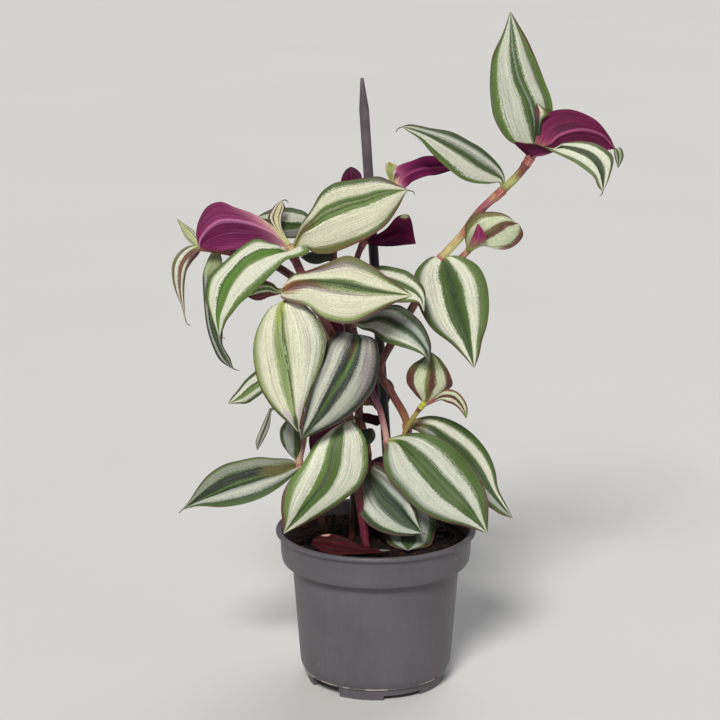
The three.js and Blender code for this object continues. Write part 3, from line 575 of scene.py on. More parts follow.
                 (-76.5, -20.5, 179.5, -74.5, -19.5, 179, -79, -19.5, 178)],
        "look": {"bands": "0 pale, 6 deep, 30 dark, 42 ash, 62 ash, 75 deep, 100 dark",
                 "patches": [(0, 0.1, 1.2, 0.18, "pale", 0.85)]},
    },
    "leaf_large_upper": {
        "stem": "stem_left", "base": (-42.5, -27, 235), "point": (15.5, -26, 266.5),
        "hook": [(18.5, -26, 265.5), (19, -26, 264)],
        "rows": [(-37, -28.5, 245.5, -37, -27, 249, -36, -29, 238),
                 (-32, -29.5, 249.5, -32.5, -27.5, 256.5, -30, -31, 236),
                 (-26, -30.5, 254, -27, -26.5, 265.5, -23.5, -32, 236),
                 (-19.5, -31, 257, -20.5, -26.5, 270, -16.5, -33, 238.5),
                 (-13, -30.5, 259.5, -13, -27, 271.5, -9.5, -32.5, 241.5),
                 (-6, -29.5, 261, -6, -26, 272.5, -2, -31.5, 245.5),
                 (0.5, -28.5, 263.5, 1, -25.5, 273, 4.5, -30, 250),
                 (7.5, -27.5, 265.5, 7.5, -25.5, 270.5, 10.5, -28, 258)],
        "look": {"tone": 0.7, "mauve": 0.2,
                 "minus": "0 leafy, 5 green, 10 pale, 16 green, 30 leafy, 37 cream, 74 cream, 84 green, 100 green",
                 "plus": "0 leafy, 10 leafy, 17 cream, 80 cream, 87 leafy, 95 green, 100 rust",
                 "hookTint": "dryDark",
                 "patches": [(-0.2, 0.08, 0.5, 0.16, "brown", 0.6), (0.93, 0.3, 0.2, 0.2, "olive", 0.7),
                             (-0.78, 0.75, 0.12, 0.16, "mauve", 0.5)]},
    },
    "leaf_behind_left": {
        "stem": "stem_dark", "base": (-22.5, -8.5, 236), "point": (-60, -12, 250.5),
        "rows": [(-37.5, -9, 245.5, -37.5, -7, 240.5, -37, -7, 252),
                 (-42.5, -11, 246, -42, -8, 239, -41.5, -8, 254),
                 (-47.5, -12, 246.5, -46.5, -9, 239.5, -46, -9, 254.5),
                 (-52.5, -12.5, 248, -51.5, -10, 244, -51, -10, 254.5),
                 (-56, -12.5, 249, -55.5, -11, 247, -55.5, -11, 253)],
        "look": {"minus": "0 deep, 25 green, 32 ash, 80 ash, 90 green, 100 deep",
                 "plus": "0 green, 17 green, 22 frost, 68 frost, 75 green, 100 deep"},
    },
    "leaf_large_middle": {
        "stem": "stem_left", "base": (-37.5, -26, 222), "point": (17.5, -39, 216),
        "rows": [(-45, -31, 218.5, -45, -30.5, 217.5, -45, -31, 219),
                 (-46.5, -36, 218, -45, -34.5, 222, -47.5, -36.5, 215),
                 (-41.5, -38, 221.5, -40, -36, 226.5, -41, -39, 212),
                 (-34.5, -39, 223, -34, -37, 228, -34, -40, 211),
                 (-25.5, -39, 222, -24.5, -35.5, 231.5, -26, -41, 205),
                 (-15.5, -40, 221, -14.5, -34.5, 235, -14, -42, 202.5),
                 (-5.5, -40, 219, -5, -35, 231.5, -4, -41.5, 206),
                 (5, -40, 217.5, 5, -37.5, 225, 6.5, -40.5, 211.5)],
        "look": {"tone": 0.79,
                 "minus": "0 deep, 7 deep, 17 leafy, 25 cream, 66 cream, 78 pale, 90 leafy, 100 green",
                 "plus": "0 green, 5 leafy, 15 pale, 24 cream, 80 cream, 90 pale, 100 leafy", "baseReach": 0.3,
                 "patches": [(0, 0.04, 4, 0.14, "pale", 0.8), (0.08, 0.3, 0.4, 0.16, "rust", 0.95),
                             (0.06, 0.42, 0.2, 0.16, "brown", 0.85), (-0.95, 0.54, 0.3, 0.1, "brown", 1),
                             (-0.92, 0.64, 0.2, 0.16, "olive", 0.7), (-0.92, 0.42, 0.2, 0.1, "wine", 0.85),
                             (-0.72, 0.64, 0.12, 0.2, "mauve", 0.6), (0.2, 0.55, 0.05, 0.3, "mauve", 0.6),
                             (0.95, 0.3, 0.22, 0.14, "wine", 0.75)]},
    },
    "leaf_large_hanging": {
        "stem": "stem_left", "base": (-34, -25, 214), "point": (-39.5, -34, 144.5),
        "rows": [(-47, -36, 211, -37.5, -33.5, 212, -51.5, -35, 209),
                 (-47, -38, 203.5, -30.5, -34.5, 204.5, -58, -35, 201),
                 (-46.5, -39, 193.5, -25.5, -34.5, 194, -61.5, -35, 189.5),
                 (-44.5, -38, 182, -27, -34.5, 182, -61, -34, 178),
                 (-43, -37, 171, -31, -34.5, 171, -58, -33, 167),
                 (-41.5, -36, 159.5, -35.5, -34.5, 160, -51.5, -33.5, 156),
                 (-40.5, -35, 151, -38, -34.5, 151, -44.5, -34, 149)],
        "look": {"minus": "0 night, 3 leafy, 9 pale, 15 cream, 80 silver, 90 pale, 100 green",
                 "plus": "0 night, 3 pale, 26 pale, 35 cream, 80 cream, 90 pale, 100 leafy",
                 "patches": [(0.16, 0.12, 0.16, 0.2, "lime", 0.75), (-0.08, 0.1, 0.08, 0.12, "lime", 0.6),
                             (0.16, 0.5, 0.12, 0.25, "leafy", 0.5), (0.02, 0.2, 0.03, 0.16, "rust", 0.6),
                             (0.5, 0.86, 0.25, 0.1, "lilac", 0.8), (-0.5, 0.84, 0.25, 0.12, "lilac", 0.8),
                             (0, 0.96, 0.5, 0.13, "deep", 1), (0.95, 0.9, 0.25, 0.2, "deep", 0.8)]},
    },
    "leaf_hanging_middle": {
        "stem": "stem_dark", "base": (-13.5, -13, 191), "point": (-38, -39, 142),
        "rows": [(-10, -25, 190.5, -2, -22, 189.5, -19, -23.5, 193),
                 (-11.5, -30, 184.5, 1, -25.5, 183.5, -26, -27.5, 188),
                 (-14.5, -33, 178, 1, -27.5, 175.5, -29, -31, 179.5),
                 (-19, -36, 170.5, -1, -29.5, 167.5, -32, -34, 170.5),
                 (-24, -38, 163, -7.5, -32, 158.5, -34.5, -36.5, 162.5),
                 (-29.5, -39, 154, -19, -35, 149.5, -36.5, -38, 154),
                 (-34, -39, 147.5, -30, -37.5, 145, -38, -38.5, 146.5)],
        "look": {"tone": 0.62, "mauve": 0.45,
                 "minus": "0 vivid, 6 green, 12 dark, 22 dark, 30 frost, 42 frost, 60 frost, 75 ash, 86 dark, "
                          "100 dark",
                 "plus": "0 vivid, 5 leafy, 10 night, 23 night, 31 ash, 41 silver, 60 silver, 73 ash, 84 dark, "
                         "100 night",
                 "base": "leafy",
                 "patches": [(-0.65, 0.3, 0.25, 0.3, "mauve", 0.5), (0.5, 0.16, 0.3, 0.1, "mauve", 0.4),
                             (0.05, 0.2, 0.1, 0.14, "bronze", 0.8), (0, 0.98, 1.2, 0.14, "deep", 0.8)]},
    },
    "leaf_curling_low": {
        "stem": "stem_middle", "base": (-12, 1, 195), "point": (26.5, -23, 178.5),
        "hook": [(26, -27, 177), (25, -29, 176), (23.5, -29, 176.5)],
        "rows": [(-6.5, -6, 194.5, -5, -4.5, 197.5, -7.5, -6, 192),
                 (0, -11.5, 198, 3.5, -8.5, 203.5, -1.5, -12, 191),
                 (6, -15, 198, 11.5, -11.5, 204.5, 4.5, -16.5, 187),
                 (12, -18.5, 195.5, 17.5, -15, 201.5, 10, -19.5, 186),
                 (18, -21, 192, 22.5, -18.5, 197.5, 15.5, -22, 185),
                 (22, -22.5, 188, 26, -20.5, 191.5, 20.5, -23, 183.5),
                 (25, -23, 183.5, 27.5, -21.5, 185.5, 24, -23, 181.5)],
        "look": {"mauve": 0.3, "minus": "0 deep, 12 dark, 30 ash, 50 ash, 68 deep, 100 dark",
                 "plus": "0 deep, 15 green, 25 ash, 68 silver, 82 green, 100 green", "hookTint": "dryWine",
                 "patches": [(0.1, 0.84, 0.6, 0.09, "dark", 0.7)]},
    },
    "leaf_curling_high": {
        "stem": "stem_middle", "base": (-12, 1, 213), "point": (24, -19, 203.5),
        "rows": [(-6.5, -4, 216.5, -5, -2.5, 220, -7, -4.5, 211), (1, -9, 218, 1, -6.5, 224, 0, -10, 208.5),
                 (8, -12.5, 217.5, 8.5, -9.5, 224, 7, -13.5, 207.5),
                 (14.5, -15, 215.5, 15.5, -12, 222.5, 12.5, -16, 207.5),
                 (19.5, -17.5, 213, 21, -15, 218.5, 18, -18, 208),
                 (22.5, -18.5, 209.5, 24.5, -16.5, 213, 21.5, -18.5, 207.5)],
        "look": {"minus": "0 green, 15 green, 28 silver, 60 silver, 75 green, 100 deep",
                 "plus": "0 green, 12 green, 22 silver, 70 silver, 84 leafy, 100 green"},
    },
    "leaf_small_bronze": {
        "stem": "stem_left", "slot": "bronze_leaf", "small": True, "base": (-36, -26, 219.5),
        "point": (-64.5, -34, 214.5),
        "rows": [(-50, -29.5, 215.5, -50, -29.5, 214.5, -48.5, -29, 217),
                 (-54, -32.5, 217, -54.5, -31.5, 213.5, -52, -31.5, 220.5),
                 (-58.5, -33.5, 216.5, -58, -33, 212.5, -56.5, -32.5, 222),
                 (-61.5, -34, 215.5, -60.5, -33.5, 212.5, -61, -33.5, 218.5)],
        "look": {"mauve": 0.1, "minus": "0 cream, 7 cream, 14 deep, 32 brown, 60 wine, 100 wine",
                 "plus": "0 cream, 10 pale, 20 deep, 38 leafy, 48 cream, 60 leafy, 76 deep, 90 wine, 100 pink",
                 "base": "straw", "baseReach": 0.3},
    },
    "leaf_purple_back": {
        "stem": "stem_middle", "slot": "purple_leaf", "base": (-6.5, 3, 235.5), "point": (-13, 30, 269),
        "rows": [(-11, 8, 254.5, -7, 9.5, 254.5, -15, 9.5, 254.5),
                 (-12, 13, 261.5, -7, 15, 261.5, -18, 15.5, 261),
                 (-13, 19, 266.5, -8, 20.5, 266.5, -17, 20.5, 266.5),
                 (-13, 24.5, 268.5, -10, 25.5, 268.5, -15.5, 25.5, 268)],
        "look": {"under": (84, 16, 54), "underDark": (54, 10, 36), "underBase": (100, 40, 60),
                 "underLine": (96, 24, 66)},
    },
    "leaf_purple_top": {
        "stem": "stem_middle", "slot": "purple_leaf", "base": (12.5, 3, 261), "point": (41.5, 10, 272),
        "rows": [(13, 5, 266.5, 16, 6, 264, 9.5, 6, 268), (17, 6.5, 269.5, 19.5, 8, 266, 11, 8.5, 272.5),
                 (22.5, 8, 271.5, 25.5, 9.5, 268, 18.5, 10, 275.5),
                 (28, 9.5, 272, 31, 10.5, 268.5, 25, 11.5, 277.5), (34, 10, 272.5, 36, 11, 270, 32, 11.5, 277)],
        "look": {"under": (126, 24, 84), "underDark": (60, 10, 40), "underBase": (178, 96, 132),
                 "underRoot": (216, 176, 150), "underLine": (160, 70, 116), "underReach": 0.34,
                 "underSlant": -0.14},
    },
    "leaf_bud_middle": {
        "stem": "stem_middle", "small": True, "base": (10, 3, 259), "point": (6.5, -0.5, 276.5),
        "rows": [(7.5, 1.5, 267, 6.5, 1.5, 267.5, 8.5, 2, 268), (7, 0, 271.5, 5, 0.5, 272.5, 8.5, 0.5, 271.5),
                 (7, 0, 275, 5, 0, 275.5, 10.5, 0.5, 274.5)],
        "look": {"bands": "0 lime, 50 pale, 80 straw, 100 pink", "rim": "pink"},
    },
    "leaf_purple_middle": {
        "stem": "stem_middle", "slot": "purple_leaf", "base": (-5.5, 3, 236), "point": (20, -2, 235),
        "rows": [(-2, 0.5, 235.5, -2.5, 1, 234, -1.5, 1, 238), (5, -2, 237.5, 4.5, -0.5, 233.5, 5, -0.5, 242),
                 (11.5, -2.5, 240, 11, -1, 234, 11, 0, 248.5), (16.5, -2.5, 238, 15.5, -1.5, 234.5, 16, 1, 249)],
        "look": {"bands": "0 dark, 60 deep, 100 dark", "under": (98, 12, 60), "underDark": (64, 6, 40),
                 "underBase": (70, 26, 44), "underLine": (96, 16, 60),
                 "underPatches": [(0.9, 0.72, 0.12, 0.08, "pale", 0.9)]},
    },
    "leaf_edge_on": {
        "stem": "stem_dark", "base": (-21, -9, 225), "point": (-38, -15, 230.5),
        "rows": [(-23, -11, 229.5, -23.5, -9.5, 227.5, -21.5, -10, 231),
                 (-28.5, -13, 230, -29, -11, 226.5, -28, -11.5, 232),
                 (-33.5, -14, 230.5, -34.5, -12.5, 227.5, -33, -12.5, 232.5)],
        # painted shade: this leaf gets dark bands only, as it looks in the shadow behind the leaves in front of it
        "look": {"bands": "0 dark, 40 dark, 55 murk, 70 deep, 100 dark"},
    },
    "leaf_low_left": {
        "stem": "stem_low_left", "base": (-40, -8, 119), "point": (-100, -17, 98), "hook": [(-102, -17, 96)],
        "rows": [(-44.5, -11, 118.5, -43.5, -13, 115.5, -45, -8.5, 122),
                 (-51.5, -14, 117, -49.5, -18, 111, -52.5, -9.5, 123),
                 (-60, -16, 115.5, -57.5, -21, 106.5, -61, -9.5, 123.5),
                 (-68, -17.5, 113, -66, -22.5, 103.5, -70.5, -10, 122),
                 (-76, -18, 110.5, -74, -23, 102, -78.5, -10, 120),
                 (-82.5, -18, 107.5, -82, -21.5, 101, -86.5, -11.5, 115),
                 (-89, -18, 104.5, -89.5, -20, 101, -92.5, -14, 108),
                 (-94.5, -17.5, 101.5, -95, -18.5, 100, -96, -16, 103)],
        "look": {"tone": 0.76, "mauve": 0.1,
                 "minus": "0 leafy, 4 deep, 16 night, 23 ash, 40 frost, 62 ash, 74 deep, 100 green",
                 "plus": "0 green, 5 deep, 12 night, 40 night, 47 green, 54 slate, 88 slate, 94 green, 100 green",
                 "base": "rust", "baseReach": 0.08, "patches": [(0.15, 0.14, 0.5, 0.16, "olive", 0.8)]},
    },
    "leaf_left_small": {
        "stem": "stem_low_left", "base": (-43, -1.5, 167), "point": (-76, -10, 153),
        "rows": [(-55.5, -5, 166, -55, -4, 159.5, -59, -3, 170),
                 (-59.5, -8, 163.5, -57.5, -7.5, 159, -63, -6.5, 168),
                 (-64.5, -9, 160.5, -62, -8.5, 155.5, -67, -7.5, 164.5),
                 (-69, -10, 157, -66.5, -9.5, 153, -71, -9, 159.5),
                 (-72.5, -10, 154.5, -71.5, -10, 153, -74, -9.5, 156)],
        "look": {"minus": "0 pale, 4 green, 25 leafy, 33 frost, 62 frost, 74 green, 100 deep",
                 "plus": "0 pale, 4 green, 20 green, 28 silver, 70 silver, 80 deep, 100 deep"},
    },
    "leaf_left_sliver": {
        "stem": "stem_low_left", "small": True, "base": (-40, -2, 150.5), "point": (-61.5, -8, 127.5),
        "rows": [(-54, -7, 149, -53.5, -7, 149, -54.5, -7, 149), (-55, -8, 146, -54.5, -8, 146, -56, -8, 146.5),
                 (-56.5, -8, 141.5, -55, -7.5, 141, -58.5, -7.5, 141),
                 (-58.5, -8, 136.5, -56.5, -7.5, 136.5, -60.5, -7.5, 136),
                 (-60.5, -8, 131.5, -59, -7.5, 131.5, -62, -7.5, 131.5)],
        "look": {"bands": "0 brown, 20 deep, 35 ash, 70 ash, 100 deep"},
    },
    "leaf_upright": {
        "stem": "stem_low_left", "base": (-38.5, -7.5, 121), "point": (-44, -8, 146),
        "rows": [(-41.5, -9, 124, -45.5, -8, 126, -40.5, -8.5, 124.5),
                 (-41, -10, 128.5, -48, -8, 130, -39.5, -9, 128.5),
                 (-41, -10, 133.5, -49.5, -8, 134, -39.5, -9, 133.5),
                 (-41.5, -9, 138.5, -49, -7, 139, -40, -8, 138)],
        "look": {"minus": "0 green, 10 deep, 20 ash, 74 ash, 84 deep, 100 deep", "plus": "0 deep, 100 green"},
    },
    "leaf_front": {
        "stem": "stem_left", "base": (-14, -16, 146), "point": (-47.5, -26, 88),
        "rows": [(-19, -22, 143, -11.5, -19.5, 145, -22.5, -21.5, 141.5),
                 (-20.5, -27.5, 138.5, -6, -23, 137.5, -31, -26.5, 136),
                 (-22, -30.5, 132.5, -4.5, -25, 130, -35, -29, 130),
                 (-23, -32, 126, -4.5, -26.5, 123, -38.5, -30.5, 124.5),
                 (-25, -32.5, 119.5, -7.5, -27, 115, -43.5, -30.5, 118.5),
                 (-28.5, -31.5, 113, -14.5, -27.5, 108.5, -47.5, -30, 110.5),
                 (-34.5, -30.5, 106, -24.5, -27.5, 101, -48.5, -29, 102.5),
                 (-40.5, -28, 97.5, -35, -26.5, 94, -48, -27.5, 95)],
        "look": {"minus": "0 deep, 6 green, 24 green, 31 silver, 80 silver, 88 leafy, 100 green",
                 "plus": "0 deep, 6 green, 25 leafy, 33 silver, 74 silver, 84 leafy, 100 leafy"},
    },
    "leaf_shaded": {
        "stem": "stem_middle", "base": (5.5, -3, 118), "point": (24, -24, 87.5), "hook": [(27, -24, 86.5)],
        "rows": [(-3.5, -6, 113.5, -1, -4, 118.5, -7, -6, 113),
                 (0.5, -9, 108.5, 5.5, -5.5, 115.5, -10, -10, 105.5),
                 (5.5, -12.5, 103, 12, -8.5, 110, -9, -13.5, 96.5),
                 (11.5, -15.5, 98, 17, -12.5, 104, -3.5, -17.5, 90),
                 (16.5, -19, 93, 19.5, -17, 98.5, 6.5, -20.5, 86),
                 (21, -21.5, 89.5, 21.5, -20.5, 92.5, 18, -22, 85.5)],
        # painted shadow: the shade patch darkens the base third of this leaf under the large leaf over it, and the
        # shade base and the dark underside base paint the same shadow at its stalk
        "look": {"mauve": 0.1, "minus": "0 dark, 26 deep, 36 ash, 74 frost, 84 deep, 100 dark",
                 "plus": "0 dark, 14 green, 32 deep, 42 ash, 75 frost, 85 deep, 100 dark", "base": "shade",
                 "patches": [(0, 0, 5, 0.36, "shade", 0.8), (0.05, 0.5, 0.35, 0.3, "dark", 0.6)],
                 "underBase": (70, 40, 44), "underRoot": (70, 40, 44)},
    },
    "leaf_large_right": {
        "stem": "stem_middle", "base": (6, -4, 131), "point": (57, -28, 89),
        "rows": [(12.5, -8.5, 131, 17, -6, 135.5, 5.5, -8.5, 130.5),
                 (18, -13, 127, 27.5, -8.5, 136, 4, -13, 125.5), (24.5, -16, 121, 37.5, -10, 131, 5, -16, 117.5),
                 (31, -19, 114, 46.5, -12.5, 123, 12.5, -19, 108.5),
                 (37.5, -22, 108, 53, -16, 114.5, 22, -22, 99.5),
                 (44, -25, 102.5, 57, -20.5, 105.5, 34, -25, 94.5),
                 (50.5, -26.5, 96, 57.5, -24, 97, 45.5, -26.5, 92)],
        "look": {"tone": 0.79, "mauve": 0.25,
                 "minus": "0 deep, 4 green, 12 green, 25 deep, 32 frost, 60 frost, 70 green, 100 green",
                 "plus": "0 deep, 5 green, 14 green, 20 deep, 26 frost, 74 frost, 82 ash, 90 green, 100 green"},
    },
    "leaf_behind_right": {
        "stem": "stem_right", "base": (16, -1, 140), "point": (71, -11, 91.5),
        "rows": [(28.5, -1, 137.5, 28.5, 1, 142.5, 26, -1, 133.5),
                 (36, -1, 131.5, 39.5, 2.5, 140, 30.5, -1, 123), (44, -2, 125.5, 50.5, 1.5, 133, 36, -2, 113),
                 (50.5, -3, 118.5, 58.5, 0.5, 123, 43, -3, 104.5), (56, -5, 111.5, 62, -2.5, 114, 50.5, -5, 99),
                 (61, -7, 104, 63.5, -6, 106, 58.5, -7, 96.5), (66, -9, 97.5, 67, -8.5, 99, 65, -9, 93)],
        "look": {"minus": "0 deep, 20 green, 30 silver, 62 silver, 74 green, 100 deep",
                 "plus": "0 deep, 22 deep, 32 ash, 60 ash, 78 green, 100 green",
                 "patches": [(0, 0.02, 5, 0.08, "wine", 0.6)]},
    },
    "leaf_in_pot": {
        "stem": "stem_right", "base": (14, 0, 109), "point": (16.5, -21, 77),
        "rows": [(17.5, -4, 96, 26, -1.5, 93.5, 11, -2, 94), (17, -8, 90, 31, -4, 88, 5.5, -4.5, 89),
                 (16.5, -11, 83.5, 30.5, -7, 82, 4.5, -7.5, 81.5),
                 (16.5, -15.5, 78.5, 28, -12.5, 77, 7, -12.5, 77.5)],
        "look": {"bands": "0 deep, 30 deep, 38 ash, 72 ash, 80 green, 100 dark"},
    },
    "leaf_dry": {
        "slot": "dry_leaf", "base": (-33, -21, 82), "point": (8, -22, 77.5),
        "rows": [(-28, -23, 82, -28.5, -20, 84.5, -28.5, -26, 79),
                 (-22.5, -26, 81.5, -23, -21, 85.5, -22.5, -29, 78),
                 (-16, -27, 81, -16, -23, 84.5, -16, -30, 78),
                 (-8.5, -27, 79.5, -8.5, -25, 81.5, -8.5, -30, 78.5),
                 (-0.5, -25.5, 79, -0.5, -24, 79, -0.5, -27.5, 78)],
        "look": {"tone": 0.7, "shine": 0.08, "grain": 0.6, "mauve": 0,
                 "bands": "0 dryDark, 25 dryWine, 60 dryDark, 90 dryWine, 100 dryDark", "rim": "dryDark",
                 "baseReach": 0,
                 "patches": [(-0.95, 0.24, 0.2, 0.08, "pink", 0.9), (0, 0.93, 0.8, 0.06, "ash", 0.5)],
                 "under": (84, 24, 38), "underDark": (48, 14, 24), "underBase": (70, 24, 34),
                 "underLine": (100, 40, 50)},
    },
    "leaf_dark_small": {
        "stem": "stem_dark", "small": True, "base": (-10, 3, 134), "point": (-4, -1, 128),
        "rows": [(-4.5, 1, 136, -2, 1.5, 136, -7, 2, 135), (-4, -1, 133, -0.5, 0, 133, -7.5, 0, 132),
                 (-4, -1, 130, -2, -0.5, 129.5, -6, -0.5, 129)],
        "look": {"bands": "0 dark, 50 dark, 70 murk, 100 dark"},
    },
    "leaf_dark_back": {
        "stem": "stem_dark", "slot": "purple_leaf", "small": True, "base": (-9, 2, 142), "point": (3, 7, 138),
        "rows": [(-5.5, 4, 141.5, -5.5, 4.5, 139, -5.5, 4.5, 143.5),
                 (-1.5, 6, 140, -2, 6.5, 137.5, -1, 6.5, 142), (1, 6.5, 139, 1, 7, 136.5, 2, 7, 141)],
        "look": {"under": (58, 16, 32), "underDark": (36, 8, 20), "underBase": (60, 20, 34),
                 "underLine": (60, 18, 34)},
    },
    "leaf_bronze_up": {
        "stem": "shoot_side", "slot": "bronze_leaf", "base": (25, -9, 153), "point": (28, -10, 180),
        "rows": [(26, -10.5, 156, 22.5, -9.5, 155.5, 29.5, -9.5, 155),
                 (26, -12.5, 160, 19, -10, 159.5, 35, -9.5, 158.5),
                 (26.5, -13, 164, 16, -9.5, 163.5, 39, -8.5, 162), (27, -13, 168.5, 16, -9, 168.5, 38, -9, 167),
                 (27.5, -12.5, 172.5, 18.5, -9.5, 173, 35.5, -9.5, 172.5),
                 (28, -11.5, 176.5, 22.5, -9.5, 176, 32.5, -9.5, 176.5)],
        "look": {"mauve": 0.1, "minus": "0 olive, 8 olive, 16 mint, 60 mint, 70 brown, 100 brown",
                 "plus": "0 olive, 8 brown, 28 brown, 36 mint, 66 mint, 76 brown, 100 brown",
                 "patches": [(0, 1.05, 5, 0.42, "green", 0.75), (0.15, 0.1, 0.3, 0.2, "olive", 0.7)]},
    },
    "leaf_bronze_side": {
        "stem": "shoot_side", "slot": "bronze_leaf", "small": True, "base": (24, -9, 151),
        "point": (46, -19, 147.5),
        "rows": [(30, -13, 155.5, 31, -12, 157, 30, -13, 155),
                 (33, -16.5, 158, 34, -15.5, 161, 33.5, -16.5, 156.5),
                 (37, -18.5, 159, 37.5, -17, 162, 36, -18.5, 156),
                 (40, -18.5, 158, 41.5, -17.5, 160.5, 39, -18.5, 155),
                 (42.5, -19, 155.5, 45, -18, 156.5, 42, -19, 153),
                 (44.5, -19, 152.5, 46.5, -18.5, 152, 44, -19, 150.5)],
        "look": {"mauve": 0.1, "minus": "0 brown, 20 brown, 32 mint, 64 mint, 78 brown, 100 rust",
                 "plus": "0 brown, 20 brown, 30 mint, 60 mint, 75 brown, 100 wine",
                 "patches": [(0, 1, 3, 0.12, "leafy", 0.8), (0, 0.1, 4, 0.06, "rosy", 0.8)]},
    },
    "leaf_back_low": {
        "stem": "stem_back", "width": 34, "lobe": 3,
        "spine": [(-2.5, 27, 95), (6, 40, 104), (16, 50, 98), (24, 60, 80)], "face": (0.2, 0.8, 0.6),
    },
    "leaf_back_left": {
        "stem": "stem_back", "width": 34, "lobe": 3,
        "spine": [(-5, 33, 120), (-14, 43, 126), (-26, 52, 116), (-34, 57, 98)], "face": (-0.3, 0.8, 0.6),
    },
    "leaf_back_right": {
        "stem": "stem_back", "width": 30, "lobe": 3,
        "spine": [(-10, 33, 142), (-5, 42, 150), (0, 49, 145), (4, 53, 128)], "face": (0.3, 0.8, 0.5),
    },
    "leaf_back_upper": {
        "stem": "stem_back", "width": 32, "lobe": 3,
        "spine": [(-20, 29, 168), (-27, 38, 176), (-34, 44, 170), (-40, 46, 152)], "face": (-0.3, 0.8, 0.5),
    },
    "leaf_back_tip": {
        "stem": "stem_back", "width": 26,
        "spine": [(-28, 23, 187), (-22, 33, 197), (-18, 41, 202), (-14, 49, 197)], "face": (0, 0.4, 0.9),
    },
    "leaf_back_top": {
        "stem": "stem_back", "small": True, "width": 14, "rise": 30, "droop": 20,
        "spine": [(-29, 22, 190), (-33, 19, 198), (-35, 17, 206), (-34, 16, 215)], "face": (0.6, 0.6, 0.3),
        "look": {"bands": "0 leafy, 15 green, 25 silver, 65 silver, 80 olive, 100 wine"},
    },
}


def leafBase(shape):
    # on the stem's middle line where the leaf has a stem
    base = shape["base"] if "base" in shape else shape["spine"][0]
    if "stem" not in shape:
        return Vector(base)
    curve = stemCurves[shape["stem"]]
    return curve.at(curve.nearest(base))


def spread(share, crowding=leafShape["crowding"]):
    # columns lie closer together at the midrib
    t = 2 * share - 1
    return t * (1 - crowding + crowding * t * t)


def relief(shape, half, side, v, swing, seed):
    # height over the plain blade: a wavy edge and an uneven blade, less the sunk midrib
    reach, hand = abs(side), 1 if side > 0 else -1
    groove = shape["groove"] * min(1, half / 6) * math.exp(-(reach * half / shape["grooveReach"]) ** 2)
    ripple = shape["ripple"] * min(1, half / 8) * math.sin(swing + hand) * reach ** 3
    wave = shape["unevenness"] * min(1, half / 9) * noise.noise(Vector((side * 1.4, v * 3.2, seed * 7.1)))
    return ripple + wave - groove


def swingAt(shape, v, seed):
    return 2 * math.pi * (shape["waves"] * v + seed * 0.37)


def spineLine(shape):
    return Curve([leafBase(shape), *shape["spine"][1:]])


def spinedRow(shape, curve, v, seed):
    # everything about one cross-section that doesn't change over its width
    along = curve.heading(v)
    upper = Vector(shape["face"])
    upper = (upper - upper.dot(along) * along).normalized()
    power = shape["neck"] + (shape["tip"] - shape["neck"]) * v
    share = max(0.0, math.sin(math.pi * v ** shape["peak"])) ** power
    half = max(shape["width"] / 2 * share, shape["baseHalf"] + (shape["tipHalf"] - shape["baseHalf"]) * v)
    back = shape["lobe"] * min(1, 8 * v) * (1 - v) ** 4
    return v, curve.at(v), along, upper, half, swingAt(shape, v, seed), back


def spinedPlace(shape, row, side, seed):
    # swings out from the spine, with the half bent down towards its edge
    v, centre, along, upper, half, swing, back = row
    reach, hand = abs(side), 1 if side > 0 else -1
    width = half * (1 + shape["flutter"] * math.sin(1.7 * swing + hand * 1.3 + seed) * reach)
    angle = math.radians(shape["rise"] - shape["droop"] * reach / 2)
    lift = relief(shape, half, side, v, swing, seed) + shape["spineArch"] * half * math.sin(math.pi * reach)
    return (centre + along.cross(upper) * (hand * width * reach * math.cos(angle))
            + upper * (width * reach * math.sin(angle) + lift) - along * (back * reach * reach))


def rowLines(shape):
    # the midrib, the minus edge and the plus edge
    base = leafBase(shape)
    return [Curve([base, *[row[3 * line:3 * line + 3] for row in shape["rows"]], shape["point"], *shape["hook"]])
            for line in range(3)]


def linedRow(shape, lines, row, seed):
    # the last rows of a hooked leaf go round its hook, and the others cover the blade
    bladeRows = 1 - shape["hookRows"] * bool(shape["hook"])
    segments, hooks = len(shape["rows"]) + 1, len(shape["hook"])
    v = min(1.0, row / bladeRows)
    point = max(0.0, (row - bladeRows) / (1 - bladeRows)) if shape["hook"] else 0.0
    whole = segments + hooks
    t = (v * segments + point * hooks) / whole
    midrib, minusEdge, plusEdge = lines
    centre, along = midrib.at(t), midrib.heading(t)
    inside = min(max(t, 0.4 / whole), (segments - 0.5) / whole)
    right = plusEdge.at(inside) - minusEdge.at(inside)
    right = (right - right.dot(along) * along).normalized()
    ends = shape["tipHalf"] * (1 - 0.5 * point) + (shape["baseHalf"] - shape["tipHalf"]) * max(0.0, 1 - 4 * v)
    minus = -right * ends if point else minusEdge.at(t) - centre - right * ends
    plus = right * ends if point else plusEdge.at(t) - centre + right * ends
    return v, centre, along, (minus, plus), swingAt(shape, v, seed)


def linedPlace(shape, row, side, seed):
    # goes straight from the midrib to the edge, with the half arched and the midrib sunk
    v, centre, along, edges, swing = row
    reach, hand = abs(side), 1 if side > 0 else -1
    edge = edges[side > 0]
    half = edge.length
    upper = (hand * edge).cross(along).normalized()
    arch = shape["arch"] * half * math.sin(math.pi * reach)
    return centre + edge * reach + upper * (relief(shape, half, side, v, swing, seed) + arch)


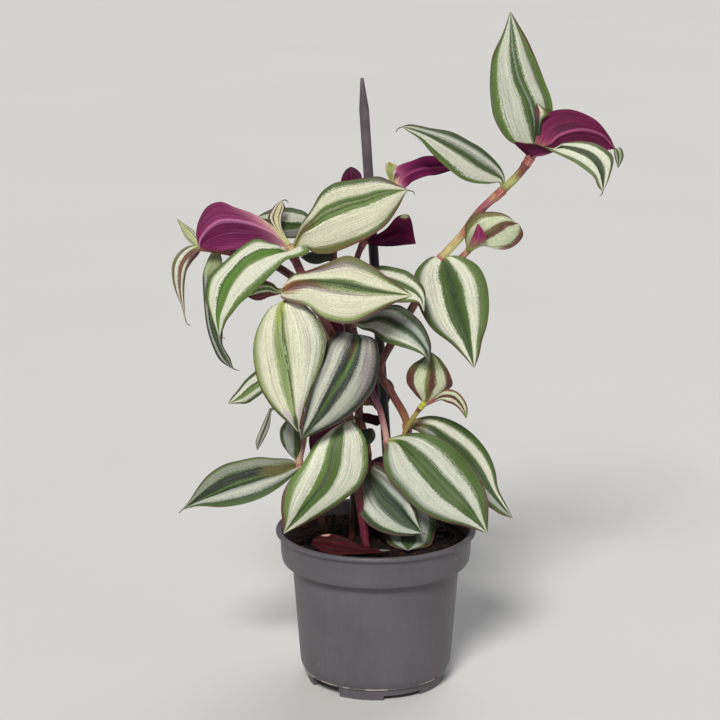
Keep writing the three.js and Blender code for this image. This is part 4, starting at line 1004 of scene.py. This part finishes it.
def makeLeaf(name, seed, materials):
    shape = {**leafShape, **leaves[name]}
    if "rows" in shape:
        lines, rowAt, placeAt = rowLines(shape), linedRow, linedPlace
    else:
        lines, rowAt, placeAt = spineLine(shape), spinedRow, spinedPlace
    sheet = gridSheet(name, *shape["smallGrid" if "small" in shape else "grid"])
    rows = {}

    def place(across, along):
        v = round(along, 5)
        if v not in rows:
            rows[v] = rowAt(shape, lines, v, seed)
        return placeAt(shape, rows[v], spread(across), seed)

    bendSheet(sheet, place, lambda share: (spread(share) + 1) / 2)
    for material in materials:
        sheet.data.materials.append(material)
    applyModifier(sheet, "SOLIDIFY", thickness=shape["thickness"] * mm, offset=-1, use_rim=True,
                  material_offset=1, material_offset_rim=2)
    smoothBelow(shape["smoothAngle"])
    return sheet


def bandStops(look):
    # ramp stops from the minus edge over the midrib to the plus edge
    sides = {}
    for side in ("minus", "plus"):
        bands = [band.split() for band in look.get(side, look["bands"]).split(", ")]
        sides[side] = [(float(place) / 100, tint) for place, tint in bands]
    stops = [((1 - look["bandReach"] * place) / 2, tint) for place, tint in reversed(sides["minus"])]
    stops += [((1 + look["bandReach"] * place) / 2, tint) for place, tint in sides["plus"][1:]]
    stops = [(0.001, look["rim"])] + stops + [(0.999, look["rim"])]
    return [(place, leafTints[tint]) for place, tint in stops]


def patched(finish, colour, patches, side, along, ragged):
    # soft streaky patches at a place across and along the leaf
    for place, reach, width, length, tint, strength in patches:
        across, lengthwise = (side - place) / width, (along - reach) / length
        away = across * across + lengthwise * lengthwise + (ragged - 0.5) * 0.9
        colour = finish.mix(away.smooth(1.3, 0.3) * strength, colour, leafTints[tint])
    return colour


def hooked(finish, colour, look, along):
    if not look["hooked"]:
        return colour
    return finish.mix(along.smooth(*look["hookFade"]), colour, leafTints[look["hookTint"]])


def upperFinish(name, look, seed):
    finish = Finish(name + "_upper", Specular_IOR_Level=look["shine"])
    across, along = finish.mapped()
    side = across * 2 - 1
    sway = finish.noise(finish.join(side * 2.2, along * 3, seed * 3.7), 1, 2)
    fine = finish.noise(finish.join(side * 26, along * 2.6, seed * 1.9), 1, 3, 0.65).smooth(0.3, 0.7)
    veins = finish.noise(finish.join(side * 60, along * 1.5, seed * 2.7), 1, 2).smooth(0.34, 0.66)
    cells = finish.noise(finish.place(), 1300, 1).smooth(0.28, 0.72)
    # bands of colour, closer together at the tip and with ragged sides
    squeeze = 1 + (along ** 5) * look["tipGreen"]
    ragged = (fine - 0.5) * 0.05 + (veins - 0.5) * 0.05 + (cells - 0.5) * 0.05
    shifted = side * squeeze + (sway - 0.5) * look["wobble"] + ragged
    colour = finish.ramp(shifted * 0.5 + 0.5, bandStops(look))
    # mauve streaks and fine green scratches over them
    dusk = finish.noise(finish.join(side * 13, along * 1.1, seed * 4.3), 1, 4, 0.75)
    colour = finish.mix(dusk.smooth(0.48, 0.66) * look["mauve"], colour, leafTints["mauve"])
    scratch = finish.noise(finish.join(side * 36, along * 5, seed * 6.1), 1, 3, 0.7)
    colour = finish.mix(scratch.smooth(0.55, 0.72) * 0.4, colour, leafTints["green"])
    if look["baseReach"]:
        foot = (along + fine * 0.05).smooth(look["baseReach"], 0)
        colour = finish.mix(foot * 0.9, colour, leafTints[look["base"]])
    colour = patched(finish, colour, look["patches"], side, along, fine)
    colour = hooked(finish, colour, look, along)
    tone = look["tone"] + fine * look["grain"] + (veins - 0.5) * 0.14 + (cells - 0.5) * 0.2
    finish.wire(finish.brighten(colour, tone), "Base Color")
    finish.wire(0.42 + (cells - 0.5) * 0.12 + fine * 0.1, "Roughness")
    finish.bump(veins * 0.5 + cells * 0.5, 0.35, 0.0005)
    return finish.material


def underFinish(name, look, seed):
    finish = Finish(name + "_underside", Specular_IOR_Level=look["underShine"])
    across, along = finish.mapped()
    side = across * 2 - 1
    sway = finish.noise(finish.join(side * 1.6, along * 2.2, seed * 5.3), 1, 2).smooth(0.3, 0.7)
    fine = finish.noise(finish.join(side * 20, along * 2, seed * 2.9), 1, 3, 0.6).smooth(0.32, 0.68)
    lines = finish.noise(finish.join(side * 44, along * 1.2, seed * 3.3), 1, 2).smooth(0.42, 0.68)
    colour = finish.mix(sway * 0.6 + fine * 0.4, look["underDark"], look["under"])
    colour = finish.mix(lines * 0.2, colour, look["underLine"])
    colour = finish.mix(abs(side).smooth(0.11, 0.015) * 0.65, colour, look["underLine"])
    # paler towards the base, and palest at the stem
    reach = along + side * look["underSlant"] + (fine - 0.5) * 0.14 + (lines - 0.5) * 0.08
    for share, tint in ((1, look["underBase"]), (0.4, look["underRoot"])):
        colour = finish.mix(reach.smooth(look["underReach"] * share, 0) * 1.2, colour, tint)
    colour = patched(finish, colour, look["underPatches"], side, along, fine)
    colour = hooked(finish, colour, look, along)
    cells = finish.noise(finish.place(), 1300, 1).smooth(0.28, 0.72)
    tone = look["underTone"] + (cells - 0.5) * 0.18 + fine * 0.2
    finish.wire(finish.brighten(colour, tone), "Base Color")
    finish.wire(0.46 + (cells - 0.5) * 0.1 + fine * 0.1, "Roughness")
    finish.bump(lines * 0.7 + cells * 0.3, 0.35, 0.0005)
    return finish.material


def edgeFinish():
    finish = Finish("leaf_edge", Specular_IOR_Level=0.3)
    cells = finish.noise(finish.place(), 300, 2).smooth(0.35, 0.65)
    finish.wire(finish.mix(cells, (104, 76, 58), (112, 122, 74)), "Base Color")
    finish.wire(0.45 + cells * 0.2, "Roughness")
    return finish.material


leafRim = edgeFinish()
for seed, name in enumerate(leaves, 1):
    look = {**leafLook, **leaves[name].get("look", {}), "hooked": "hook" in leaves[name]}
    sheet = makeLeaf(name, seed, [upperFinish(name, look, seed), underFinish(name, look, seed), leafRim])
    finishPiece(sheet, name)
print("leaves made:", len(leaves))


# Stems are tubes along their routes, thicker at each node, with a thin sheath above it

stemShape = {
    "sides": 20, "step": 1.6, "fewestSteps": 12, "nodeSwell": 0.22, "nodeLength": 1.7, "unevenness": 0.05,
    "fullTurn": 6.28, "mergeWithin": 0.02, "smoothAngle": 50, "streak": (104, 34, 52),
    "sheathLength": 6, "sheathSteps": 7, "sheathThickness": 0.22, "sheathGap": 0.12, "sheathFlare": 0.28,
    "sheath": ((206, 176, 140), (150, 66, 84)),
}


def tubeFrames(curve, start, end, steps):
    # middle line, and two cross directions that don't twist
    frames = []
    side = Vector((0, -1, 0))
    for step in range(steps + 1):
        t = start + (end - start) * step / steps
        along = curve.heading(t)
        side = (side - side.dot(along) * along).normalized()
        frames.append((curve.at(t), side, along.cross(side)))
    return frames


def makeTube(name, curve, start, end, steps, radiusAt, closed=True):
    sheet = gridSheet(name, stemShape["sides"], steps)
    frames = tubeFrames(curve, start, end, steps)

    def place(across, along):
        centre, side, other = frames[round(along * steps)]
        turn = 2 * math.pi * (1 if across > 0.999 else across)
        radius = radiusAt(across % 1, along)
        return centre + radius * (math.cos(turn) * side + math.sin(turn) * other)

    bendSheet(sheet, place)
    selectOnly(sheet)
    bpy.ops.object.mode_set(mode="EDIT")
    bpy.ops.mesh.select_all(action="SELECT")
    bpy.ops.mesh.remove_doubles(threshold=stemShape["mergeWithin"] * mm)
    if closed:
        bpy.ops.mesh.fill_holes(sides=0)
    faceOut()
    smoothBelow(stemShape["smoothAngle"])
    return sheet


def sheathPlaces(name):
    # where each leaf of this stem starts, as a share of the route
    bases = [leaf["base"] if "base" in leaf else leaf["spine"][0]
             for leaf in leaves.values() if leaf.get("stem") == name]
    return sorted(stemCurves[name].nearest(base) for base in bases)


def around(finish, across):
    # cosine and sine of the way round a tube, so that its noise has no seam
    turn = across * 2 * math.pi
    return [finish.node("ShaderNodeMath", {"operation": kind}, {0: turn}) for kind in ("COSINE", "SINE")]


def stemFinish(name, stem, seed):
    finish = Finish(name + "_skin", Specular_IOR_Level=0.45)
    across, along = finish.mapped()
    turnX, turnY = around(finish, across)
    streaks = finish.noise(finish.join(turnX * 4, turnY * 4, along * 14 + seed), 1, 4, 0.7).smooth(0.3, 0.7)
    hairs = finish.noise(finish.join(turnX * 9, turnY * 9, along * 50 + seed), 1, 2, 0.6).smooth(0.5, 0.66)
    blotch = finish.noise(finish.place(), 220, 3, 0.6).smooth(0.3, 0.7)
    colour = finish.ramp(along + (streaks - 0.5) * 0.04, stem["tones"])
    colour = finish.mix((streaks * 0.5 + blotch * 0.5).smooth(0.5, 0.9) * 0.5, colour, stemShape["streak"])
    colour = finish.mix(hairs * 0.35, colour, (206, 160, 130))
    colour = finish.brighten(colour, 0.82 + streaks * 0.26 + blotch * 0.1)
    finish.wire(colour, "Base Color")
    finish.wire(0.36 + blotch * 0.2, "Roughness")
    finish.bump(streaks * 0.7 + blotch * 0.3, 0.5, 0.0006)
    return finish.material


def sheathFinish(name, tones):
    finish = Finish(name + "_sheath", Specular_IOR_Level=0.35)
    across, along = finish.mapped()
    turnX, turnY = around(finish, across)
    veins = finish.noise(finish.join(turnX * 7, turnY * 7, along * 0.8), 1, 3, 0.6)
    colour = finish.mix(veins.smooth(0.4, 0.6), *tones)
    colour = finish.mix(along.smooth(0.8, 1) * 0.5, colour, tones[0])
    finish.wire(colour, "Base Color")
    finish.wire(0.45 + veins * 0.2, "Roughness")
    finish.bump(veins, 0.5, 0.0004)
    return finish.material


def makeStem(name, seed):
    stem = stems[name]
    curve = stemCurves[name]
    length = curve.length()
    starts = sheathPlaces(name)
    sheathLength = stem.get("sheathLength", stemShape["sheathLength"])
    nodes = [max(0.0, t - sheathLength / length) for t in starts]
    steps = max(stemShape["fewestSteps"], round(length / stemShape["step"]))

    def radius(across, along):
        swell = max((math.exp(-((along - t) * length / stemShape["nodeLength"]) ** 2) for t in nodes), default=0)
        turn = stemShape["fullTurn"] * across
        spot = Vector((math.cos(turn), math.sin(turn), along * length / 9 + seed))
        uneven = stemShape["unevenness"] * noise.noise(spot)
        return stem["radius"] * (1 + stemShape["nodeSwell"] * swell + uneven)

    tube = makeTube(name, curve, 0, 1, steps, radius)
    tube.data.materials.append(stemFinish(name, stem, seed))
    sheathSkin = sheathFinish(name, stem.get("sheath", stemShape["sheath"]))
    parts = [tube]
    for index, (start, end) in enumerate(zip(nodes, starts)):
        def sheathRadius(across, along):
            lean = 0.6 + 0.4 * math.cos(stemShape["fullTurn"] * (across + 0.2 * index))
            return stem["radius"] + stemShape["sheathGap"] + stemShape["sheathFlare"] * along ** 3 * lean

        sheath = makeTube(f"{name}_sheath{index}", curve, start, end, stemShape["sheathSteps"], sheathRadius,
                          closed=False)
        applyModifier(sheath, "SOLIDIFY", thickness=stemShape["sheathThickness"] * mm, offset=1)
        sheath.data.materials.append(sheathSkin)
        parts.append(sheath)
    finishPiece(joinPieces(parts, name), name)


for seed, name in enumerate(stems, 1):
    makeStem(name, seed)
print("stems made:", len(stems))


# Pot: a ring is pulled up through the profile, then the foot is notched and the floor drained

pot = {
    "sides": 160,
    "profile": [(7, 0.5), (7, 6.2), (32.9, 6.2), (33.2, 5.9), (33.2, 0.4), (33.6, 0), (35.6, 0), (36, 0.4),
                (37, 6.1), (38.0, 6.3), (38.2, 6.55), (38.0, 6.8), (38.5, 7.6), (39.3, 9.0), (39.8, 10.6), (40, 12),
                (44, 65.0), (44.4, 65.4), (47.6, 65.5), (48.7, 66.0), (49.3, 67.1), (49.8, 69.5), (50.3, 80.0),
                (50.5, 80.5), (52.0, 80.8), (52.5, 81.4), (52.5, 82.2), (52.1, 82.8), (51.4, 83), (50.2, 83),
                (49.5, 82.6), (49.1, 81.8), (48.4, 70), (47.6, 67.6), (46.2, 66.9), (42.9, 66), (42.7, 64.5),
                (38.7, 12), (38, 9.4), (36.7, 8), (1, 8)],
    "feet": 5, "turn": -12.7, "footSpan": 38, "notches": [2.6, 2.6, 2.6, 2.6, 5.8],
    "notchRing": (31.5, 45), "notchBelow": -1, "notchSteps": 10, "drainCircle": 23, "drainRadius": 3.5,
    "drainSides": 40, "drainDepth": 20, "drainMiddle": 5, "smoothAngle": 35,
}


def extrudeRing(radius, height, lastRadius, lastHeight):
    bpy.ops.mesh.extrude_region_move(TRANSFORM_OT_translate={"value": (0, 0, (height - lastHeight) * mm)})
    grow = radius / lastRadius
    bpy.ops.transform.resize(value=(grow, grow, 1), center_override=(0, 0, 0))


def turnProfile(name, profile, sides):
    deselectAll()
    radius, height = profile[0]
    bpy.ops.mesh.primitive_circle_add(vertices=sides, radius=radius * mm, location=(0, 0, height * mm))
    body = bpy.context.object
    body.name = name
    bpy.ops.object.transform_apply(location=True)
    bpy.ops.object.mode_set(mode="EDIT")
    bpy.ops.mesh.select_all(action="SELECT")
    bpy.ops.mesh.extrude_region_move()
    bpy.ops.transform.resize(value=(0.001, 0.001, 1), center_override=(0, 0, 0))
    bpy.ops.mesh.merge(type="CENTER")
    bpy.ops.mesh.select_all(action="DESELECT")
    bpy.ops.object.mode_set(mode="OBJECT")
    for vertex in body.data.vertices:
        vertex.select = (Vector(vertex.co[:2]).length > radius * mm * 0.9)
    bpy.ops.object.mode_set(mode="EDIT")
    for (radius, height), (lastRadius, lastHeight) in zip(profile[1:], profile):
        extrudeRing(radius, height, lastRadius, lastHeight)
    bpy.ops.mesh.merge(type="CENTER")
    faceOut()
    return body


def cutWith(body, cutter):
    applyModifier(body, "BOOLEAN", object=cutter, operation="DIFFERENCE", solver="EXACT")
    bpy.data.objects.remove(cutter)


def makeNotch(index, height):
    # a wedge of ring between two feet
    pitch = 360 / pot["feet"]
    start = math.radians(pot["turn"] + index * pitch + pot["footSpan"] / 2 - 90)
    sweep = math.radians(pitch - pot["footSpan"])
    deselectAll()
    bpy.ops.mesh.primitive_plane_add(size=1, location=(0, 0, 0))
    block = bpy.context.object
    corners = [(radius, level) for level in (pot["notchBelow"], height) for radius in pot["notchRing"]]
    for vertex, (radius, level) in zip(block.data.vertices, corners):
        vertex.co = (radius * math.cos(start) * mm, radius * math.sin(start) * mm, level * mm)
    bpy.ops.object.mode_set(mode="EDIT")
    bpy.ops.mesh.select_all(action="SELECT")
    bpy.ops.mesh.spin(steps=pot["notchSteps"], angle=-sweep, center=(0, 0, 0), axis=(0, 0, 1))
    faceOut()
    return block


def potFinish():
    finish = Finish("pot_plastic", Specular_IOR_Level=0.42)
    place = finish.place()
    x, y, z = finish.split(place)
    cloud = finish.noise(place, 30, 3, 0.55).smooth(0.3, 0.7)
    mottle = finish.noise(place, 900, 2, 0.6).smooth(0.3, 0.7)
    drawn = finish.noise(finish.join(x * 500, y * 500, z * 30), 1, 3, 0.6).smooth(0.3, 0.7)
    specks = finish.noise(place, 620, 1)
    colour = finish.mix(cloud, (86, 82, 88), (96, 91, 97))
    colour = finish.mix(mottle * 0.12, colour, (120, 114, 118))
    colour = finish.mix(drawn * 0.2, colour, (78, 74, 81))
    colour = finish.mix(specks.smooth(0.79, 0.83) * 0.6, colour, (190, 186, 182))
    # the seam ledge is scratched pale, the feet are rubbed, and dust lies inside under the lip
    gone = finish.noise(place, 130, 3, 0.6)
    seam = abs(z - 0.0066).smooth(0.0007, 0.0002) * gone.smooth(0.42, 0.56)
    colour = finish.mix(seam * 0.8, colour, (188, 174, 164))
    worn = z.smooth(0.0012, 0) * gone.smooth(0.4, 0.6)
    colour = finish.mix(worn * 0.6, colour, (150, 142, 136))
    radius = (x * x + y * y) ** 0.5
    patchy = finish.noise(place, 700, 3, 0.7).smooth(0.46, 0.62)
    dust = radius.smooth(0.0496, 0.0493) * z.smooth(0.0765, 0.08) * patchy
    colour = finish.mix(dust * 0.5, colour, (150, 136, 122))
    finish.wire(colour, "Base Color")
    finish.wire(0.4 + cloud * 0.12 + mottle * 0.06, "Roughness")
    finish.bump(mottle * 0.5 + drawn * 0.5, 0.2, 0.0003)
    return finish.material


def makePot():
    body = turnProfile("pot", pot["profile"], pot["sides"])
    for index, height in enumerate(pot["notches"]):
        cutWith(body, makeNotch(index, height))
    for index in range(pot["feet"]):
        angle = math.radians(pot["turn"] + index * 360 / pot["feet"])
        ring = pot["drainCircle"] * mm
        deselectAll()
        bpy.ops.mesh.primitive_cylinder_add(
            vertices=pot["drainSides"], radius=pot["drainRadius"] * mm, depth=pot["drainDepth"] * mm,
            location=(ring * math.sin(angle), -ring * math.cos(angle), pot["drainMiddle"] * mm))
        cutWith(body, bpy.context.object)
    selectOnly(body)
    smoothBelow(pot["smoothAngle"])
    finishPiece(body, "pot", potFinish())


makePot()
print("pot made")


# Stake: an eight-sided rod with a tapered top

stake = {"foot": (12.6, 15.4, 20), "top": (-7.3, 9, 318), "radius": 2.6, "taper": 16, "tipRadius": 0.9,
         "sides": 8, "bevel": 0.35, "bevelAngle": 20, "smoothAngle": 30}


def stakeFinish():
    finish = Finish("stake_plastic", Specular_IOR_Level=0.4)
    place = finish.place()
    x, y, z = finish.split(place)
    grime = finish.noise(place, 90, 4, 0.6)
    grain = finish.noise(finish.join(x * 10, y * 10, z), 160, 3, 0.6)
    colour = finish.mix(grime.smooth(0.35, 0.65), (84, 75, 82), (104, 94, 101))
    # painted shade: the rod turns near black below about 0.235 to 0.262 m, where it runs down inside the leaves
    colour = finish.mix(z.smooth(0.262, 0.235), colour, (32, 30, 34))
    colour = finish.mix(grain.smooth(0.6, 0.75) * 0.3, colour, (132, 124, 130))
    finish.wire(colour, "Base Color")
    finish.wire(0.46 + grime * 0.22, "Roughness")
    finish.bump(grain, 0.3, 0.0005)
    return finish.material


def makeStake():
    foot, top = Vector(stake["foot"]), Vector(stake["top"])
    length = (top - foot).length
    deselectAll()
    bpy.ops.mesh.primitive_cylinder_add(vertices=stake["sides"], radius=stake["radius"] * mm,
                                        depth=(length - stake["taper"]) * mm,
                                        location=(0, 0, (length - stake["taper"]) / 2 * mm))
    rod = bpy.context.object
    rod.name = "stake"
    bpy.ops.object.transform_apply(location=True)
    bpy.ops.object.mode_set(mode="EDIT")
    bpy.ops.mesh.select_all(action="DESELECT")
    bpy.ops.object.mode_set(mode="OBJECT")
    for face in rod.data.polygons:
        face.select = face.normal.z > 0.9
    bpy.ops.object.mode_set(mode="EDIT")
    bpy.ops.mesh.extrude_region_move(TRANSFORM_OT_translate={"value": (0, 0, stake["taper"] * mm)})
    share = stake["tipRadius"] / stake["radius"]
    bpy.ops.transform.resize(value=(share, share, 1), center_override=(0, 0, 0))
    bpy.ops.object.mode_set(mode="OBJECT")
    applyModifier(rod, "BEVEL", width=stake["bevel"] * mm, segments=2, limit_method="ANGLE",
                  angle_limit=math.radians(stake["bevelAngle"]))
    lean = Vector((0, 0, 1)).rotation_difference((top - foot).normalized())
    rod.rotation_mode = "QUATERNION"
    rod.rotation_quaternion = lean
    rod.location = foot * mm
    selectOnly(rod)
    bpy.ops.object.transform_apply(location=True, rotation=True)
    smoothBelow(stake["smoothAngle"])
    finishPiece(rod, "stake", stakeFinish())


makeStake()
print("stake made")


# Soil: a crumbly top on a body that fills the pot, with loose crumbs and bark lying on it

soil = {
    "height": 75.5, "wave": 1.2, "radius": 48.1, "edge": 2, "sides": 120, "smoothAngle": 40, "seed": 11,
    "rings": (1, 2, 3.5, *range(5, 44, 2), 44.5, 46, 47.2, 48.1),  # over the top, from the middle to the wall
    "wall": [(48.0, 72), (47.9, 70), (46.9, 68.2), (42.5, 65.6), (42.3, 64.3), (38.4, 12.2), (37.6, 9.8),
             (36.3, 8.3), (20, 8.3), (1, 8.3)],  # down and under
    "crumbs": 1500, "crumbSize": (0.5, 2.1), "crumbRing": 47, "bark": 46, "barkSize": (2.5, 6.5), "barkRing": 45,
}


def soilTop(x, y):
    rough = noise.noise(Vector((x / 6, y / 6, 3.1))) * 1.1 + noise.noise(Vector((x / 2.2, y / 2.2, 8.4))) * 0.5
    return soil["height"] + soil["wave"] * math.sin(x / 11 + 1) * math.cos(y / 9 - 0.5) + rough


def soilFinish():
    finish = Finish("potting_soil", Specular_IOR_Level=0.25)
    place = finish.place()
    shade = finish.node("ShaderNodeAttribute", {"attribute_name": "shade"}, output="Fac")
    clumps = finish.noise(place, 260, 4, 0.7)
    grains = finish.noise(place, 1300, 3, 0.7)
    colour = finish.ramp(shade * 0.7 + clumps * 0.3, [(0, (12, 6, 5)), (0.4, (26, 14, 11)), (0.6, (46, 25, 17)),
                                                      (0.8, (96, 54, 30)), (1, (146, 90, 52))])
    colour = finish.brighten(colour, 0.65 + grains * 0.8)
    finish.wire(colour, "Base Color")
    finish.wire(0.82 + grains * 0.15, "Roughness")
    finish.bump(grains * 0.6 + clumps * 0.4, 0.8, 0.0012)
    return finish.material


def tagShade(piece, value):
    layer = piece.data.attributes.new("shade", "FLOAT", "POINT")
    layer.data.foreach_set("value", [value(i) for i in range(len(piece.data.vertices))])


def scatter(name, model, count, sizes, flat, shades, rng, ring):
    # copies of one modelled lump, each turned and squashed its own way, in one mesh
    source = [vertex.co.copy() for vertex in model.data.vertices]
    faces = [list(face.vertices) for face in model.data.polygons]
    points, polygons, tints = [], [], []
    for index in range(count):
        radius = ring * math.sqrt(rng.random())
        angle = rng.random() * 2 * math.pi
        x, y = radius * math.cos(angle), radius * math.sin(angle)
        size = sizes[0] + (sizes[1] - sizes[0]) * rng.random() ** 2.2
        turn = Vector((rng.uniform(-1, 1), rng.uniform(-1, 1), rng.uniform(-1, 1))).to_track_quat("Z", "Y")
        stretch = Vector((rng.uniform(0.7, 1.3), rng.uniform(0.6, 1.1), flat * rng.uniform(0.7, 1.2)))
        lean = Vector((rng.uniform(-0.5, 0.5), rng.uniform(-0.5, 0.5), 1)).to_track_quat("Z", "Y")
        at = Vector((x, y, soilTop(x, y) + size * flat * rng.uniform(0.0, 0.35)))
        start = len(points)
        for co in source:
            moved = turn @ co if flat > 0.6 else co
            moved = lean @ Vector((moved.x * stretch.x, moved.y * stretch.y, moved.z * stretch.z))
            points.append((at + moved * size) * mm)
        polygons += [[start + corner for corner in face] for face in faces]
        tints += [shades(rng)] * len(source)
    mesh = bpy.data.meshes.new(name)
    mesh.from_pydata(points, [], polygons)
    mesh.update()
    piece = bpy.data.objects.new(name, mesh)
    bpy.context.scene.collection.objects.link(piece)
    tagShade(piece, lambda i: tints[i])
    return piece


def makeLump(name, seed, jitter):
    deselectAll()
    bpy.ops.mesh.primitive_ico_sphere_add(subdivisions=2, radius=0.5, location=(0, 0, 0))
    lump = bpy.context.object
    lump.name = name
    for vertex in lump.data.vertices:
        vertex.co *= 1 + jitter * noise.noise(vertex.co * 2.6 + Vector((seed, 0, 0)))
    return lump


def makeSoil():
    rng = random.Random(soil["seed"])
    profile = [(radius, soil["height"]) for radius in soil["rings"]] + soil["wall"]
    body = turnProfile("soil", profile, soil["sides"])
    for vertex in body.data.vertices:
        x, y, z = (c / mm for c in vertex.co)
        if z > soil["height"] - 0.1:
            fall = min(1, max(0, (soil["radius"] - math.hypot(x, y)) / soil["edge"]))
            vertex.co.z = (soil["height"] + (soilTop(x, y) - soil["height"]) * fall) * mm
    tagShade(body, lambda i: 0.3)
    crumb = makeLump("crumb", 1, 0.9)
    chip = makeLump("chip", 5, 0.7)
    crumbs = scatter("crumbs", crumb, soil["crumbs"], soil["crumbSize"], 0.9,
                     lambda r: min(1, max(0, r.gauss(0.32, 0.16))), rng, soil["crumbRing"])
    bark = scatter("bark", chip, soil["bark"], soil["barkSize"], 0.32,
                   lambda r: min(1, max(0, r.gauss(0.7, 0.14))), rng, soil["barkRing"])
    bpy.data.objects.remove(crumb)
    bpy.data.objects.remove(chip)
    whole = joinPieces([body, crumbs, bark], "soil")
    smoothBelow(soil["smoothAngle"])
    finishPiece(whole, "soil", soilFinish())


makeSoil()
print("soil made")


# Plain pale floor and soft studio light

studio = {
    "floor": (222, 222, 221), "floorSize": 40, "sky": (228, 230, 232),
    "skyHeights": (0.05, 0.45), "skyStrengths": (0.5, 0.12),  # brighter near the horizon
    "suns": [
        {"from": (-0.28, -1.3, 1.2), "spread": 16, "power": 2.85, "colour": (255, 252, 246)},
        {"from": (0.5, 1.1, 1.8), "spread": 45, "power": 0.85, "colour": (252, 252, 255)},
    ],
}


def makeStudio():
    deselectAll()
    bpy.ops.mesh.primitive_plane_add(size=studio["floorSize"], location=(0, 0, 0))
    floor = bpy.context.object
    floor.name = "floor"
    finish = Finish("floor", Specular_IOR_Level=0.2, Roughness=0.8)
    grain = finish.noise(finish.place(), 3, 2)
    finish.wire(finish.mix(grain, studio["floor"], tuple(c - 4 for c in studio["floor"])), "Base Color")
    floor.data.materials.append(finish.material)
    for sun in studio["suns"]:
        toPlant = -Vector(sun["from"])
        bpy.ops.object.light_add(type="SUN", location=sun["from"],
                                 rotation=toPlant.to_track_quat("-Z", "Y").to_euler())
        light = bpy.context.object.data
        light.angle = math.radians(sun["spread"])
        light.energy, light.color = sun["power"], ink(sun["colour"])[:3]
    world = bpy.data.worlds.new("studio")
    world.use_nodes = True
    sky = world.node_tree.nodes["Background"]
    sky.inputs["Color"].default_value = ink(studio["sky"])
    nodes, links = world.node_tree.nodes, world.node_tree.links
    place, height = nodes.new("ShaderNodeTexCoord"), nodes.new("ShaderNodeSeparateXYZ")
    fade = nodes.new("ShaderNodeMapRange")
    for socket, value in zip(list(fade.inputs)[1:5], (*studio["skyHeights"], *studio["skyStrengths"])):
        socket.default_value = value
    links.new(place.outputs["Generated"], height.inputs[0])
    links.new(height.outputs["Z"], fade.inputs[0])
    links.new(fade.outputs[0], sky.inputs["Strength"])
    bpy.context.scene.world = world
    bpy.context.scene.view_settings.view_transform = "Standard"


makeStudio()
print("studio made")
